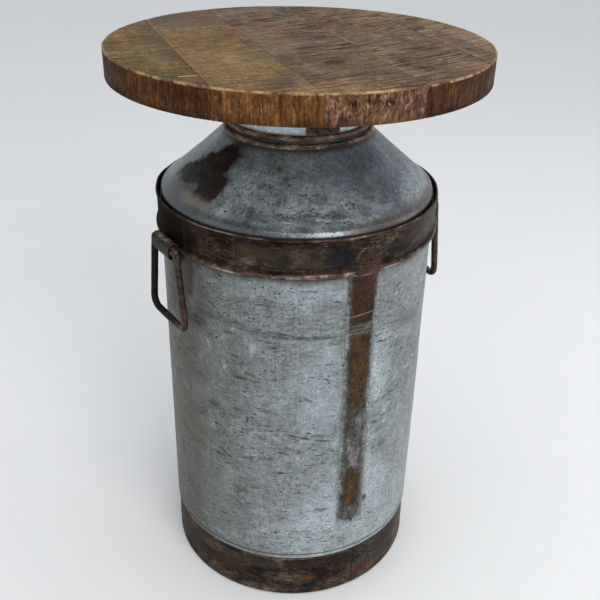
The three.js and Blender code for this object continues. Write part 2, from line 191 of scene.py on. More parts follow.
DENTS = [(-12, 335, 26, 0.7), (8, 232, 34, 0.8), (-38, 255, 30, 0.9), (46, 300, 30, 0.8), (-24, 398, 22, 0.5),
         (58, 175, 34, 0.9), (-58, 150, 36, 1.0), (95, 330, 40, 1.2), (150, 210, 45, 1.3), (-140, 300, 45, 1.4),
         (-100, 200, 38, 1.1), (178, 390, 34, 0.9), (2, 130, 24, 0.5), (-5, 410, 18, 0.35)]


def body_dr(th, z):
    """The body's own dents on top of the shared shape; inward only, faded at its two ends."""
    d = np.zeros_like(th)
    for az, zc, size, deep in DENTS:
        s = wrap_deg(np.degrees(th) - az) * DEG * BODY_R
        d -= deep * np.exp(-(s * s + (z - zc) ** 2) / (size * size))
    d -= 0.10 * (1 + np.sin(23 * th + 0.11 * z)) * (1 + np.sin(0.16 * z + 2.2 * np.sin(3 * th))) * 0.5
    return can_dr(th, z) + d * smooth(z, 72, 100) * (1 - smooth(z, 425, 444))


def revolve(profile, n, dr=None, warp=None):
    """A closed profile of (r, z) swept round the axis; dr(th, z, index) moves points outwards."""
    prof = np.asarray(profile, float)
    th = np.linspace(-math.pi, math.pi, n, endpoint=False)
    TH, R = np.meshgrid(th, prof[:, 0])
    Z = np.meshgrid(th, prof[:, 1])[1]
    if dr is not None:
        R = R + dr(TH, Z)
    if warp is not None:
        R, Z = warp(TH, R, Z)
    P = np.stack([R * np.sin(TH), -R * np.cos(TH), Z], -1)
    b = Build()
    b.wrap(P, True, True)
    return b


def revolve_disc(profile, n, dr=None):
    """An open profile from axis to axis."""
    prof = np.asarray(profile, float)
    inner = prof[1:-1]
    th = np.linspace(-math.pi, math.pi, n, endpoint=False)
    TH, R = np.meshgrid(th, inner[:, 0])
    Z = np.meshgrid(th, inner[:, 1])[1]
    if dr is not None:
        R = R + dr(TH, Z)
    b = Build()
    b0 = b.wrap(np.stack([R * np.sin(TH), -R * np.cos(TH), Z], -1), True, False)
    b.fan([b0 + i for i in range(n)], (0, 0, prof[0][1]), flip=True)
    last = b0 + (len(inner) - 1) * n
    b.fan([last + i for i in range(n)], (0, 0, prof[-1][1]))
    return b


def fix_normals(ob):
    import bmesh
    bm = bmesh.new()
    bm.from_mesh(ob.data)
    bmesh.ops.recalc_face_normals(bm, faces=bm.faces)
    if bm.calc_volume(signed=True) < 0:
        bmesh.ops.reverse_faces(bm, faces=bm.faces)
    bm.to_mesh(ob.data)
    bm.free()
    ob.data.update()
    return ob


def frame_at(az):
    a = az * DEG
    e = np.array([math.sin(a), -math.cos(a), 0.0])
    t = np.array([math.cos(a), math.sin(a), 0.0])
    return e, t


def hash_noise(x, seed=0):
    """Smooth 1-D noise in -1..1 for arrays, from fixed sine sums."""
    s = seed * 1.7 + 0.3
    return (np.sin(x * 1.0 + s) + 0.6 * np.sin(x * 2.17 + 2.1 * s) + 0.4 * np.sin(x * 4.31 + 0.7 * s)
            + 0.25 * np.sin(x * 8.9 + 3.3 * s)) / 2.25


# ---------------------------------------------------------------- material helpers
class Mat:
    def __init__(self, name):
        self.m = bpy.data.materials.new(name)
        self.m.use_nodes = True
        self.t = self.m.node_tree
        self.t.nodes.clear()
        self.out = self.t.nodes.new("ShaderNodeOutputMaterial")
        self.b = self.t.nodes.new("ShaderNodeBsdfPrincipled")
        self.t.links.new(self.b.outputs[0], self.out.inputs[0])
        self.tc = self.t.nodes.new("ShaderNodeTexCoord").outputs["Object"]

    def put(self, sock, v):
        if isinstance(v, bpy.types.NodeSocket):
            self.t.links.new(v, sock)
        elif isinstance(v, (tuple, list)) and len(v) == 3 and sock.type == "RGBA":
            sock.default_value = (*v, 1.0)
        else:
            sock.default_value = v

    def node(self, kind, **props):
        n = self.t.nodes.new(kind)
        for k, v in props.items():
            setattr(n, k, v)
        return n

    def mapping(self, vec, scale=(1, 1, 1), rot=(0, 0, 0), loc=(0, 0, 0)):
        n = self.node("ShaderNodeMapping")
        self.put(n.inputs["Vector"], vec)
        n.inputs["Scale"].default_value = scale
        n.inputs["Rotation"].default_value = rot
        n.inputs["Location"].default_value = loc
        return n.outputs[0]

    def noise(self, vec, scale, detail=4.0, rough=0.55, dist=0.0, lac=2.0):
        n = self.node("ShaderNodeTexNoise")
        self.put(n.inputs["Vector"], vec)
        n.inputs["Scale"].default_value = scale
        n.inputs["Detail"].default_value = detail
        n.inputs["Roughness"].default_value = rough
        n.inputs["Distortion"].default_value = dist
        n.inputs["Lacunarity"].default_value = lac
        return n.outputs[0]

    def voronoi(self, vec, scale, feature="F1", out="Distance", rand=1.0):
        n = self.node("ShaderNodeTexVoronoi", feature=feature)
        self.put(n.inputs["Vector"], vec)
        n.inputs["Scale"].default_value = scale
        n.inputs["Randomness"].default_value = rand
        return n.outputs[out]

    def wave(self, vec, scale, dist=2.0, detail=2.0, dscale=1.0, direction="X", kind="BANDS"):
        n = self.node("ShaderNodeTexWave", wave_type=kind)
        if kind == "BANDS":
            n.bands_direction = direction
        self.put(n.inputs["Vector"], vec)
        n.inputs["Scale"].default_value = scale
        n.inputs["Distortion"].default_value = dist
        n.inputs["Detail"].default_value = detail
        n.inputs["Detail Scale"].default_value = dscale
        return n.outputs[1]

    def math(self, op, a, b=None, c=None, clamp=False):
        n = self.node("ShaderNodeMath", operation=op)
        n.use_clamp = clamp
        self.put(n.inputs[0], a)
        if b is not None:
            self.put(n.inputs[1], b)
        if c is not None:
            self.put(n.inputs[2], c)
        return n.outputs[0]

    def step(self, v, lo, hi, a=0.0, b=1.0):
        n = self.node("ShaderNodeMapRange", interpolation_type="SMOOTHSTEP")
        self.put(n.inputs["Value"], v)
        n.inputs["From Min"].default_value = lo
        n.inputs["From Max"].default_value = hi
        n.inputs["To Min"].default_value = a
        n.inputs["To Max"].default_value = b
        return n.outputs[0]

    def ramp(self, fac, stops, interp="LINEAR"):
        n = self.node("ShaderNodeValToRGB")
        r = n.color_ramp
        r.interpolation = interp
        while len(r.elements) > 1:
            r.elements.remove(r.elements[-1])
        r.elements[0].position = stops[0][0]
        r.elements[0].color = (*stops[0][1], 1.0)
        for p, c in stops[1:]:
            e = r.elements.new(p)
            e.color = (*c, 1.0)
        self.put(n.inputs[0], fac)
        return n.outputs[0]

    def mix(self, fac, a, b, mode="MIX"):
        n = self.node("ShaderNodeMix", data_type="RGBA", blend_type=mode)
        self.put(n.inputs[0], fac)
        self.put(n.inputs[6], a)
        self.put(n.inputs[7], b)
        return n.outputs[2]

    def sep(self, vec):
        n = self.node("ShaderNodeSeparateXYZ")
        self.put(n.inputs[0], vec)
        return n.outputs

    def comb(self, x, y, z):
        n = self.node("ShaderNodeCombineXYZ")
        self.put(n.inputs[0], x)
        self.put(n.inputs[1], y)
        self.put(n.inputs[2], z)
        return n.outputs[0]

    def bump(self, height, strength, distance=0.001, normal=None):
        n = self.node("ShaderNodeBump")
        self.put(n.inputs["Height"], height)
        n.inputs["Strength"].default_value = strength
        n.inputs["Distance"].default_value = distance
        if normal is not None:
            self.put(n.inputs["Normal"], normal)
        return n.outputs[0]

    def polar(self):
        """Angle from the front towards +X (radians), radius and height (metres)."""
        x, y, z = self.sep(self.tc)
        ny = self.math("MULTIPLY", y, -1.0)
        th = self.math("ARCTAN2", x, ny)
        r = self.math("SQRT", self.math("ADD", self.math("MULTIPLY", x, x), self.math("MULTIPLY", y, y)))
        return th, r, z

    def spot(self, a, b, ca, cb, sa, sb, edge=None, soft=0.35):
        """1 inside an ellipse about (ca, cb), 0 outside; edge is noise that breaks its outline."""
        da = self.math("DIVIDE", self.math("SUBTRACT", a, ca), sa)
        db = self.math("DIVIDE", self.math("SUBTRACT", b, cb), sb)
        d = self.math("SQRT", self.math("ADD", self.math("MULTIPLY", da, da), self.math("MULTIPLY", db, db)))
        if edge is not None:
            d = self.math("ADD", d, edge)
        return self.step(d, 1.0 - soft, 1.0 + soft, 1.0, 0.0)

    def grain(self, c, vec, scale, k, detail=2.0, rough=0.6, floor=0.15):
        """Colour c made lighter and darker by small noise, k = how strongly."""
        f = self.math("MULTIPLY_ADD", self.noise(vec, scale, detail, rough), k, 1.0 - 0.5 * k)
        f = self.math("MAXIMUM", f, floor)
        n = self.node("ShaderNodeVectorMath", operation="SCALE")
        self.put(n.inputs[0], c)
        self.put(n.inputs["Scale"], f)
        return n.outputs[0]

    def finish(self, color, rough, metal=0.0, normal=None, spec=None):
        self.put(self.b.inputs["Base Color"], color)
        self.put(self.b.inputs["Roughness"], rough)
        self.put(self.b.inputs["Metallic"], metal)
        if spec is not None:
            self.b.inputs["Specular IOR Level"].default_value = spec
        if normal is not None:
            self.put(self.b.inputs["Normal"], normal)
        return self.m


def centred(m, v, amount):
    return m.math("MULTIPLY", m.math("SUBTRACT", v, 0.5), amount)


BODY_MARKS = [  # az deg, z mm, half width deg, half height mm, strength
    (-42.0, 370, 4.5, 6.0, 0.80), (-30.0, 384, 13, 3.2, 0.70), (-18.0, 379, 10, 2.6, 0.60), (-4.0, 375, 11, 2.4, 0.65), (10.5, 374, 8.5, 2.6, 0.85),
    (17.0, 367, 3.5, 3.5, 0.60), (49.0, 368, 8, 7.0, 0.60), (59.0, 362, 7, 6.0, 0.55), (-22.0, 317, 3.2, 1.8, 0.95), (-15.5, 316, 3.0, 2.2, 0.70),
    (-35.0, 272, 4.0, 3.2, 0.75), (-23.0, 160, 4.0, 5.0, 0.60), (-33.0, 203, 3.2, 2.4, 0.95), (-27.0, 199, 5.0, 2.0, 0.60), (12.8, 138, 2.8, 2.6, 0.65),
    (-11.0, 412, 13, 4.0, 0.45), (4.0, 246, 9, 2.2, 0.50), (37.0, 247, 5, 2.4, 0.70), (-45.0, 300, 7, 2.6, 0.50), (100, 300, 12, 4, 0.7), (150, 220, 14, 4, 0.7),
    (-120, 350, 14, 5, 0.7), (-160, 180, 12, 4, 0.7)]


SCRAPES = [  # az deg, z mm, half length mm, tilt deg, strength
    (2.8, 246.2, 15.8, -15, 0.90), (13.3, 238.9, 12.9, -12, 0.75), (-29.7, 208.2, 11.0, -32, 0.90), (-15.4, 258.9, 19.7, 1, 0.45),
    (-14.0, 212.7, 23.0, 3, 0.50), (-35.6, 269.2, 8.3, -8, 0.85), (-23.6, 342.6, 7.2, -9, 0.80), (-17.6, 323.8, 8.0, -10, 0.75),
    (40.3, 275.0, 22.0, 8, 0.60), (46.5, 251.2, 18.0, 4, 0.55), (12.3, 137.9, 6.3, -30, 0.70), (-1.4, 229.9, 5.6, -32, 0.65),
    (5.8, 296.9, 7.3, -34, 0.65), (-4.1, 373.7, 6.8, -11, 0.75), (15.7, 415.3, 6.9, -18, 0.65), (-9.8, 415.8, 7.2, -7, 0.65),
    (-26.5, 370.6, 8.5, 0, 0.65), (120, 260, 14, -12, 0.7), (-110, 310, 16, 9, 0.7), (160, 340, 12, -20, 0.6), (-150, 240, 14, 5, 0.6)]


def zinc_body():
    m = Mat("zinc_body")
    P = m.tc
    th, r, z = m.polar()
    arc = m.math("MULTIPLY", th, BODY_R * MM)
    # mottled bloom of old galvanising, from broad clouds down to a cloth-like grain
    broad = m.noise(m.mapping(P, (1, 1, 1.3)), 11.0, 4.0, 0.6, 0.5)
    cloud = m.noise(m.mapping(P, (1, 1, 1.35), loc=(3, 1, 5)), 46.0, 6.0, 0.72, 0.25)
    fine = m.noise(m.mapping(P, (1, 1, 1.3)), 300.0, 4.0, 0.72)
    warp_h = m.noise(m.mapping(P, (42, 42, 520)), 1.0, 4.0, 0.65, 0.3)
    warp_v = m.noise(m.mapping(P, (460, 460, 34), loc=(4, 4, 4)), 1.0, 4.0, 0.65, 0.3)
    v = m.math("ADD", m.math("MULTIPLY", broad, 0.22), m.math("MULTIPLY", cloud, 0.34))
    v = m.math("ADD", v, m.math("MULTIPLY", fine, 0.30))
    v = m.math("ADD", v, m.math("MULTIPLY", warp_h, 0.14))
    v = m.math("ADD", v, m.math("MULTIPLY", warp_v, 0.16))
    v = m.math("SUBTRACT", v, 0.08)
    c = m.ramp(v, [(0.34, (0.080, 0.088, 0.088)), (0.44, (0.165, 0.186, 0.190)), (0.52, (0.262, 0.300, 0.308)), (0.60, (0.385, 0.440, 0.456)),
                   (0.70, (0.540, 0.605, 0.630))])
    # top to bottom: painted shade darkening the upper body towards the hoop, painted light from the floor on the lower
    # front, painted shade on the left side and on the far right
    c = m.mix(m.step(z, 0.20, 0.44, 0.0, 0.30), c, (0.105, 0.112, 0.112))
    back = m.math("MULTIPLY", m.step(th, -3.10, -2.0), m.step(th, 2.0, 3.10, 1.0, 0.0))
    left = m.math("MULTIPLY", m.step(th, -1.05, 0.10, 0.80, 0.0), back)
    c = m.mix(m.math("MULTIPLY", m.math("MULTIPLY", m.step(z, 0.07, 0.26, 0.32, 0.0), m.step(th, -0.5, 0.3)), back), c, (0.52, 0.575, 0.59))
    c = m.mix(left, c, m.mix(cloud, (0.040, 0.038, 0.028), (0.175, 0.168, 0.138)))
    c = m.mix(m.math("MULTIPLY", m.step(th, 0.85, 1.5, 0.0, 0.25), back), c, (0.12, 0.128, 0.128))
    # brownish film and runs low on the left
    film = m.noise(m.mapping(P, (1, 1, 0.45), loc=(1, 9, 4)), 30.0, 5.0, 0.65)
    lowleft = m.math("MULTIPLY", m.step(z, 0.07, 0.34, 1.0, 0.15), m.math("MAXIMUM", m.math("MULTIPLY", m.step(th, -0.2, 0.45, 1.0, 0.15), back), 0.15))
    c = m.mix(m.math("MULTIPLY", m.step(film, 0.50, 0.70, 0.0, 0.55), lowleft), c, (0.175, 0.142, 0.098))
    tan = m.noise(m.mapping(P, (1, 1, 0.8), loc=(2, 6, 3)), 75.0, 4.0, 0.62, 0.4)
    c = m.mix(m.math("MULTIPLY", m.step(tan, 0.60, 0.68, 0.0, 0.55), m.step(cloud, 0.42, 0.56)), c, (0.205, 0.160, 0.100))
    blot = m.noise(m.mapping(P, (1, 1, 2.2), loc=(7, 2, 1)), 26.0, 6.0, 0.70, 0.6)
    c = m.mix(m.step(blot, 0.54, 0.66, 0.0, 0.36), c, (0.090, 0.092, 0.090))
    # pale blue-white bloom either side of the seam at mid height
    nb = centred(m, m.noise(P, 40.0, 4.0, 0.6), 1.4)
    for az, zc, sa, sz, k in ((38.0, 325, 5.5, 40, 0.32), (12.0, 290, 7.0, 60, 0.26), (36.0, 150, 9.0, 40, 0.34), (14.0, 130, 9.0, 40, 0.30), (3.0, 425, 14.0, 12, 0.25)):
        c = m.mix(m.math("MULTIPLY", m.spot(th, z, az * DEG, zc * MM, sa * DEG, sz * MM, nb, 0.7), k), c, (0.50, 0.585, 0.625))
    c = m.grain(c, m.mapping(P, (1, 1, 1.15), loc=(3, 2, 1)), 230.0, 0.55)
    c = m.grain(c, m.mapping(P, loc=(6, 1, 7)), 420.0, 1.0)
    # short horizontal dashes and scratches, clustered
    cluster = m.step(m.noise(m.mapping(P, (1, 1, 1.8), loc=(4, 4, 2)), 17.0, 4.0, 0.60), 0.40, 0.56)
    dash = m.noise(m.mapping(P, (105, 105, 430), rot=(0.10, 0.06, 0)), 1.0, 3.0, 0.62, 1.4)
    dash2 = m.noise(m.mapping(P, (46, 46, 400), rot=(-0.30, 0.22, 0), loc=(2, 5, 8)), 1.0, 3.0, 0.60, 1.0)
    d1 = m.math("MULTIPLY", m.step(dash, 0.592, 0.622), cluster)
    d2 = m.math("MULTIPLY", m.step(dash2, 0.635, 0.660), m.step(m.noise(P, 9.0, 2.0, 0.5), 0.47, 0.60))
    fleck = m.noise(m.mapping(P, (240, 240, 400), rot=(0.3, -0.2, 0.2), loc=(7, 3, 3)), 1.0, 2.0, 0.60, 0.6)
    d3 = m.math("MULTIPLY", m.step(fleck, 0.632, 0.662), m.step(m.noise(m.mapping(P, (1, 1, 1.6), loc=(3, 9, 9)), 18.0, 5.0, 0.66), 0.48, 0.60))
    bloom = m.noise(m.mapping(P, (1, 1, 1.2), loc=(9, 4, 4)), 60.0, 5.0, 0.68, 0.4)
    c = m.mix(m.step(bloom, 0.56, 0.70, 0.0, 0.40), c, m.mix(m.step(fine, 0.4, 0.6), (0.40, 0.47, 0.50), (0.62, 0.70, 0.73)))
    c = m.mix(m.step(bloom, 0.44, 0.33, 0.0, 0.34), c, (0.085, 0.090, 0.092))
    marks = m.math("MAXIMUM", m.math("MULTIPLY", d1, 0.90), m.math("MULTIPLY", d2, 0.92), clamp=True)
    marks = m.math("MAXIMUM", marks, m.math("MULTIPLY", d3, 0.90), clamp=True)
    c = m.mix(marks, c, (0.024, 0.022, 0.020))
    # painted shade along the left edge
    left_edge_shade = m.math("MULTIPLY", m.step(th, -0.98, -0.55, 0.50, 0.0), back)
    c = m.mix(left_edge_shade, c, (0.048, 0.042, 0.027))
    # heavier scrapes at particular places, broken up by the dash pattern
    e = centred(m, m.noise(m.mapping(P, (1, 1, 1.5)), 90.0, 5.0, 0.65), 1.6)
    rag = m.step(m.noise(m.mapping(P, (110, 110, 520), loc=(5, 5, 5)), 1.0, 4.0, 0.65, 0.6), 0.40, 0.56, 0.15, 1.0)
    heavy = None
    for az, zc, sa, sz, k in BODY_MARKS:
        q = m.math("MULTIPLY", m.spot(th, z, az * DEG, zc * MM, sa * DEG, sz * MM, e, 0.6), k)
        heavy = q if heavy is None else m.math("MAXIMUM", heavy, q)
    heavy = m.math("MULTIPLY", heavy, rag)
    chip = m.step(m.noise(m.mapping(P, (1, 1, 1.4), loc=(5, 1, 8)), 150.0, 3.0, 0.6), 0.40, 0.52, 0.30, 1.0)
    for az, zc, ln, tilt, k in SCRAPES:
        ct, st_ = math.cos(tilt * DEG), math.sin(tilt * DEG)
        da = m.math("SUBTRACT", arc, az * DEG * BODY_R * MM)
        dz = m.math("SUBTRACT", z, zc * MM)
        du = m.math("ADD", m.math("MULTIPLY", da, ct), m.math("MULTIPLY", dz, st_))
        dv = m.math("SUBTRACT", m.math("MULTIPLY", dz, ct), m.math("MULTIPLY", da, st_))
        dv = m.math("ADD", dv, m.math("MULTIPLY", e, 0.0013))
        q = m.math("MULTIPLY", m.step(m.math("ABSOLUTE", du), ln * 0.55 * MM, ln * 1.1 * MM, k, 0.0), m.step(m.math("ABSOLUTE", dv), 0.0007, 0.0024, 1.0, 0.0))
        heavy = m.math("MAXIMUM", heavy, m.math("MULTIPLY", q, chip))
    c = m.mix(heavy, c, (0.036, 0.032, 0.028))
    # one long upright scratch
    up_ = m.math("MULTIPLY", m.step(m.math("ABSOLUTE", m.math("SUBTRACT", th, m.math("ADD", -7.3 * DEG, m.math("MULTIPLY", e, 0.0012)))), 0.0022, 0.0050, 1.0, 0.0),
                 m.math("MULTIPLY", m.step(z, 0.300, 0.312), m.step(z, 0.366, 0.371, 1.0, 0.0)))
    c = m.mix(m.math("MULTIPLY", up_, 0.55), c, (0.085, 0.070, 0.060))
    # pits
    pits = m.step(m.voronoi(m.mapping(P, (1, 1, 1.3)), 120.0), 0.13, 0.20, 1.0, 0.0)
    pitmask = m.step(m.noise(m.mapping(P, loc=(8, 8, 8)), 22.0, 3.0, 0.5), 0.49, 0.60)
    c = m.mix(m.math("MULTIPLY", m.math("MULTIPLY", pits, pitmask), 0.90), c, (0.034, 0.029, 0.025))
    # the seam's heat band: bright flakes beside the strap, grey halo next to it
    d = m.math("ABSOLUTE", m.math("SUBTRACT", arc, SEAM_AZ * DEG * BODY_R * MM))
    inz = m.math("MULTIPLY", m.step(z, 0.074, 0.110), m.step(z, 0.36, 0.447, 1.0, 0.30))
    ring = m.math("MULTIPLY", m.step(d, 0.0155, 0.0190), m.step(d, 0.0190, 0.0460, 1.0, 0.0))
    flake = m.step(m.noise(m.mapping(P, (1, 1, 1)), 430.0, 4.0, 0.65), 0.53, 0.62)
    patch = m.step(m.noise(m.mapping(P, (1, 1, 0.7), loc=(6, 1, 1)), 46.0, 4.0, 0.60), 0.47, 0.60)
    bright = m.math("MULTIPLY", m.math("MULTIPLY", ring, flake), m.math("MULTIPLY", inz, patch))
    c = m.mix(m.math("MULTIPLY", bright, 0.62), c, (0.70, 0.76, 0.78))
    halo = m.math("MULTIPLY", m.step(d, 0.0150, 0.0205, 1.0, 0.0), m.step(z, 0.100, 0.118))
    c = m.mix(m.math("MULTIPLY", halo, 0.70), c, (0.095, 0.095, 0.090))
    # dark band just under the hoop, brown run beside the left handle, painted shade in the groove above the foot
    n1 = centred(m, m.noise(m.mapping(P, (1, 1, 0.4)), 70.0, 4.0, 0.6), 0.9)
    under_hoop_band = m.step(m.math("ADD", z, m.math("MULTIPLY", n1, 0.016)), 0.4330, 0.4430, 0.0, 0.80)
    c = m.mix(under_hoop_band, c, (0.048, 0.038, 0.030))
    run = m.spot(th, z, -47.5 * DEG, 0.427, 0.060, 0.036, n1, 0.45)
    c = m.mix(m.math("MULTIPLY", run, 0.95), c, (0.036, 0.024, 0.013))
    run3 = m.spot(th, z, -52.0 * DEG, 0.425, 0.12, 0.028, n1, 0.5)
    c = m.mix(m.math("MULTIPLY", run3, 0.55), c, (0.045, 0.038, 0.028))
    run4 = m.spot(th, z, 101.0 * DEG, 0.424, 0.10, 0.030, n1, 0.5)
    c = m.mix(m.math("MULTIPLY", run4, 0.6), c, (0.045, 0.035, 0.026))
    dark = m.spot(th, z, 34.2 * DEG, 0.139, 0.020, 0.0050, n1, 0.5)
    c = m.mix(m.math("MULTIPLY", dark, 0.9), c, (0.045, 0.040, 0.036))
    foot = m.math("MULTIPLY", m.step(z, 0.0672, 0.0684), m.step(z, 0.0690, 0.0704, 1.0, 0.0))
    c = m.mix(m.math("MULTIPLY", foot, 0.85), c, (0.045, 0.042, 0.042))
    lip = m.step(z, 0.0622, 0.0664, 1.0, 0.0)
    c = m.mix(m.math("MULTIPLY", lip, 0.55), c, m.mix(cloud, (0.12, 0.115, 0.115), (0.58, 0.60, 0.62)))
    rough = m.math("ADD", m.step(cloud, 0.3, 0.7, 0.38, 0.54), m.math("MULTIPLY", marks, 0.2))
    rough = m.math("SUBTRACT", rough, m.math("MULTIPLY", bright, 0.12))
    h = m.math("ADD", m.math("MULTIPLY", cloud, 0.5), m.math("MULTIPLY", fine, 0.35))
    h = m.math("ADD", h, m.math("MULTIPLY", m.math("ADD", warp_h, warp_v), 0.22))
    h = m.math("SUBTRACT", h, m.math("MULTIPLY", m.math("MAXIMUM", marks, heavy), 0.5))
    h = m.math("ADD", h, m.math("MULTIPLY", bright, 0.5))
    return m.finish(c, rough, 0.50, m.bump(h, 0.38, 0.0009), spec=0.35)


def zinc_shoulder(name="zinc_shoulder", stain=True):
    m = Mat(name)
    P = m.tc
    th, r, z = m.polar()
    broad = m.noise(m.mapping(P, (1, 1, 1)), 14.0, 4.0, 0.6, 0.6)
    cloud = m.noise(m.mapping(P, (1, 1, 1), loc=(2, 6, 1)), 55.0, 6.0, 0.70, 0.4)
    fine = m.noise(P, 340.0, 4.0, 0.72)
    x_, y_, z_ = m.sep(P)
    radial = m.noise(m.comb(m.math("MULTIPLY", m.math("DIVIDE", x_, r), 60.0), m.math("MULTIPLY", m.math("DIVIDE", y_, r), 60.0), m.math("MULTIPLY", r, 22.0)), 1.0, 4.0, 0.6)
    v = m.math("ADD", m.math("MULTIPLY", broad, 0.36), m.math("MULTIPLY", cloud, 0.40))
    v = m.math("ADD", v, m.math("MULTIPLY", fine, 0.22))
    v = m.math("ADD", v, m.math("MULTIPLY", radial, 0.12))
    v = m.math("SUBTRACT", v, 0.05)
    c = m.ramp(v, [(0.34, (0.060, 0.066, 0.074)), (0.44, (0.125, 0.145, 0.156)), (0.52, (0.205, 0.242, 0.260)), (0.60, (0.300, 0.355, 0.380)),
                   (0.70, (0.42, 0.485, 0.51))])
    c = m.mix(m.step(m.noise(m.mapping(P, loc=(5, 5, 5)), 27.0, 6.0, 0.7), 0.54, 0.72, 0.0, 0.45), c, (0.075, 0.082, 0.100))
    spark = m.noise(m.mapping(P, loc=(8, 4, 4)), 210.0, 3.0, 0.62)
    c = m.mix(m.step(spark, 0.60, 0.68, 0.0, 0.45), c, (0.40, 0.46, 0.48))
    c = m.mix(m.step(spark, 0.40, 0.32, 0.0, 0.50), c, (0.045, 0.048, 0.052))
    # painted highlight: a pale belt on the lower cone; painted shade where the foot dips into the hoop
    highlight_belt = m.math("MULTIPLY", m.step(z, 0.490, 0.499), m.step(z, 0.503, 0.518, 1.0, 0.0))
    c = m.mix(m.step(z, 0.4865, 0.4960, 0.34, 0.0), c, (0.075, 0.082, 0.088))
    c = m.mix(m.math("MULTIPLY", highlight_belt, m.step(cloud, 0.42, 0.56, 0.0, 0.36)), c, (0.42, 0.50, 0.52))
    c = m.grain(c, m.mapping(P, loc=(3, 2, 1)), 230.0, 0.80)
    c = m.grain(c, m.mapping(P, loc=(6, 1, 7)), 420.0, 1.4)
    specks = m.step(m.voronoi(P, 165.0), 0.13, 0.22, 1.0, 0.0)
    sm = m.step(m.noise(m.mapping(P, loc=(1, 2, 9)), 24.0, 3.0, 0.55), 0.47, 0.60)
    c = m.mix(m.math("MULTIPLY", m.math("MULTIPLY", specks, sm), 0.88), c, (0.018, 0.018, 0.020))
    nick = m.step(m.noise(m.mapping(P, (1, 1, 1.5), loc=(9, 1, 3)), 190.0, 3.0, 0.60), 0.625, 0.655)
    c = m.mix(m.math("MULTIPLY", nick, m.step(z, 0.488, 0.530, 0.9, 0.55)), c, (0.026, 0.026, 0.029))
    e = centred(m, m.noise(m.mapping(P, loc=(3, 3, 3)), 42.0, 6.0, 0.68), 1.5)
    if stain:
        tint = m.mix(m.step(m.noise(m.mapping(P, loc=(4, 4, 4)), 60.0, 4.0, 0.6), 0.42, 0.60), (0.006, 0.005, 0.005), (0.032, 0.014, 0.009))
        # old paint and rust stain, its outline pulled about by slow noise
        w1 = centred(m, m.noise(m.mapping(P, loc=(11, 2, 5)), 20.0, 5.0, 0.62, 0.8), 1.0)
        w2 = centred(m, m.noise(m.mapping(P, loc=(2, 12, 6)), 20.0, 5.0, 0.62, 0.8), 1.0)
        slant = m.math("MULTIPLY", m.math("SUBTRACT", z, 0.525), -7.5)
        thw = m.math("ADD", m.math("ADD", th, slant), m.math("MULTIPLY", w1, 0.50))
        zw = m.math("ADD", z, m.math("MULTIPLY", w2, 0.040))
        st = None
        halo = None
        for az, zc, sa, sz, k in [(-56, 528, 12, 20, 1.0), (-47, 519, 13, 8, 0.95), (-39, 511, 6.5, 14, 0.95), (-62, 512, 9, 8, 0.9)]:
            q = m.math("MULTIPLY", m.spot(thw, zw, az * DEG, zc * MM, sa * DEG, sz * MM, m.math("MULTIPLY", e, 0.50), 0.20), k)
            st = q if st is None else m.math("MAXIMUM", st, q)
            q = m.spot(thw, zw, az * DEG, zc * MM, sa * 1.35 * DEG, sz * 1.3 * MM, m.math("MULTIPLY", e, 0.5), 0.55)
            halo = q if halo is None else m.math("MAXIMUM", halo, q)
        st = m.math("MULTIPLY", st, m.step(z, 0.4960, 0.5010))
        c = m.mix(m.math("MULTIPLY", halo, 0.42), c, (0.060, 0.056, 0.056))
        c = m.mix(st, c, tint)
        # painted shade over the left part of the foot
        s = m.spot(th, z, -58 * DEG, 0.503, 0.34, 0.013, e, 0.9)
        c = m.mix(m.math("MULTIPLY", s, 0.80), c, (0.040, 0.038, 0.030))
        s = m.spot(th, z, -50 * DEG, 0.4985, 0.16, 0.0045, e, 0.6)
        c = m.mix(m.math("MULTIPLY", s, 0.55), c, (0.24, 0.215, 0.155))
        for az, zc, sa, sz in [(-10.2, 534.7, 1.5, 1.8), (-5.5, 528, 1.6, 2.0), (-4.0, 524, 1.0, 1.4), (-13.5, 521, 1.3, 1.4)]:
            s = m.spot(th, z, az * DEG, zc * MM, sa * DEG, sz * MM, e, 0.6)
            c = m.mix(m.math("MULTIPLY", s, 0.75), c, (0.105, 0.058, 0.026))
        s = m.spot(th, z, 38 * DEG, 0.533, 0.50, 0.018, e, 0.8)
        c = m.mix(m.math("MULTIPLY", s, 0.60), c, (0.060, 0.063, 0.092))
        s = m.spot(th, z, 47 * DEG, 0.505, 0.22, 0.016, e, 0.9)
        c = m.mix(m.math("MULTIPLY", s, 0.45), c, (0.070, 0.078, 0.095))
        s = m.spot(th, z, 9 * DEG, 0.4990, 0.34, 0.0035, e, 0.9)
        c = m.mix(m.math("MULTIPLY", s, 0.65), c, (0.050, 0.050, 0.052))
        back = m.spot(th, z, 165 * DEG, 0.518, 0.25, 0.012, e, 0.6)
        c = m.mix(m.math("MULTIPLY", back, 0.6), c, tint)
    if stain:
        lines = m.noise(m.comb(m.math("MULTIPLY", th, 17.0), 0.0, m.math("MULTIPLY", z, 900.0)), 1.0, 3.0, 0.6, 0.5)
        streak_mask = m.step(lines, 0.47, 0.56)
        for az, zc, sa, sz, k in [(6, 504.0, 7.5, 3.0, 0.85), (-2, 501.5, 6.0, 1.8, 0.60), (14, 502.0, 4.0, 1.6, 0.60), (24, 507.0, 6.0, 3.2, 0.50), (-17, 503.0, 6.0, 2.2, 0.45)]:
            q = m.math("MULTIPLY", m.spot(th, z, az * DEG, zc * MM, sa * DEG, sz * MM, e, 0.7), streak_mask)
            c = m.mix(m.math("MULTIPLY", q, k), c, (0.022, 0.022, 0.024))
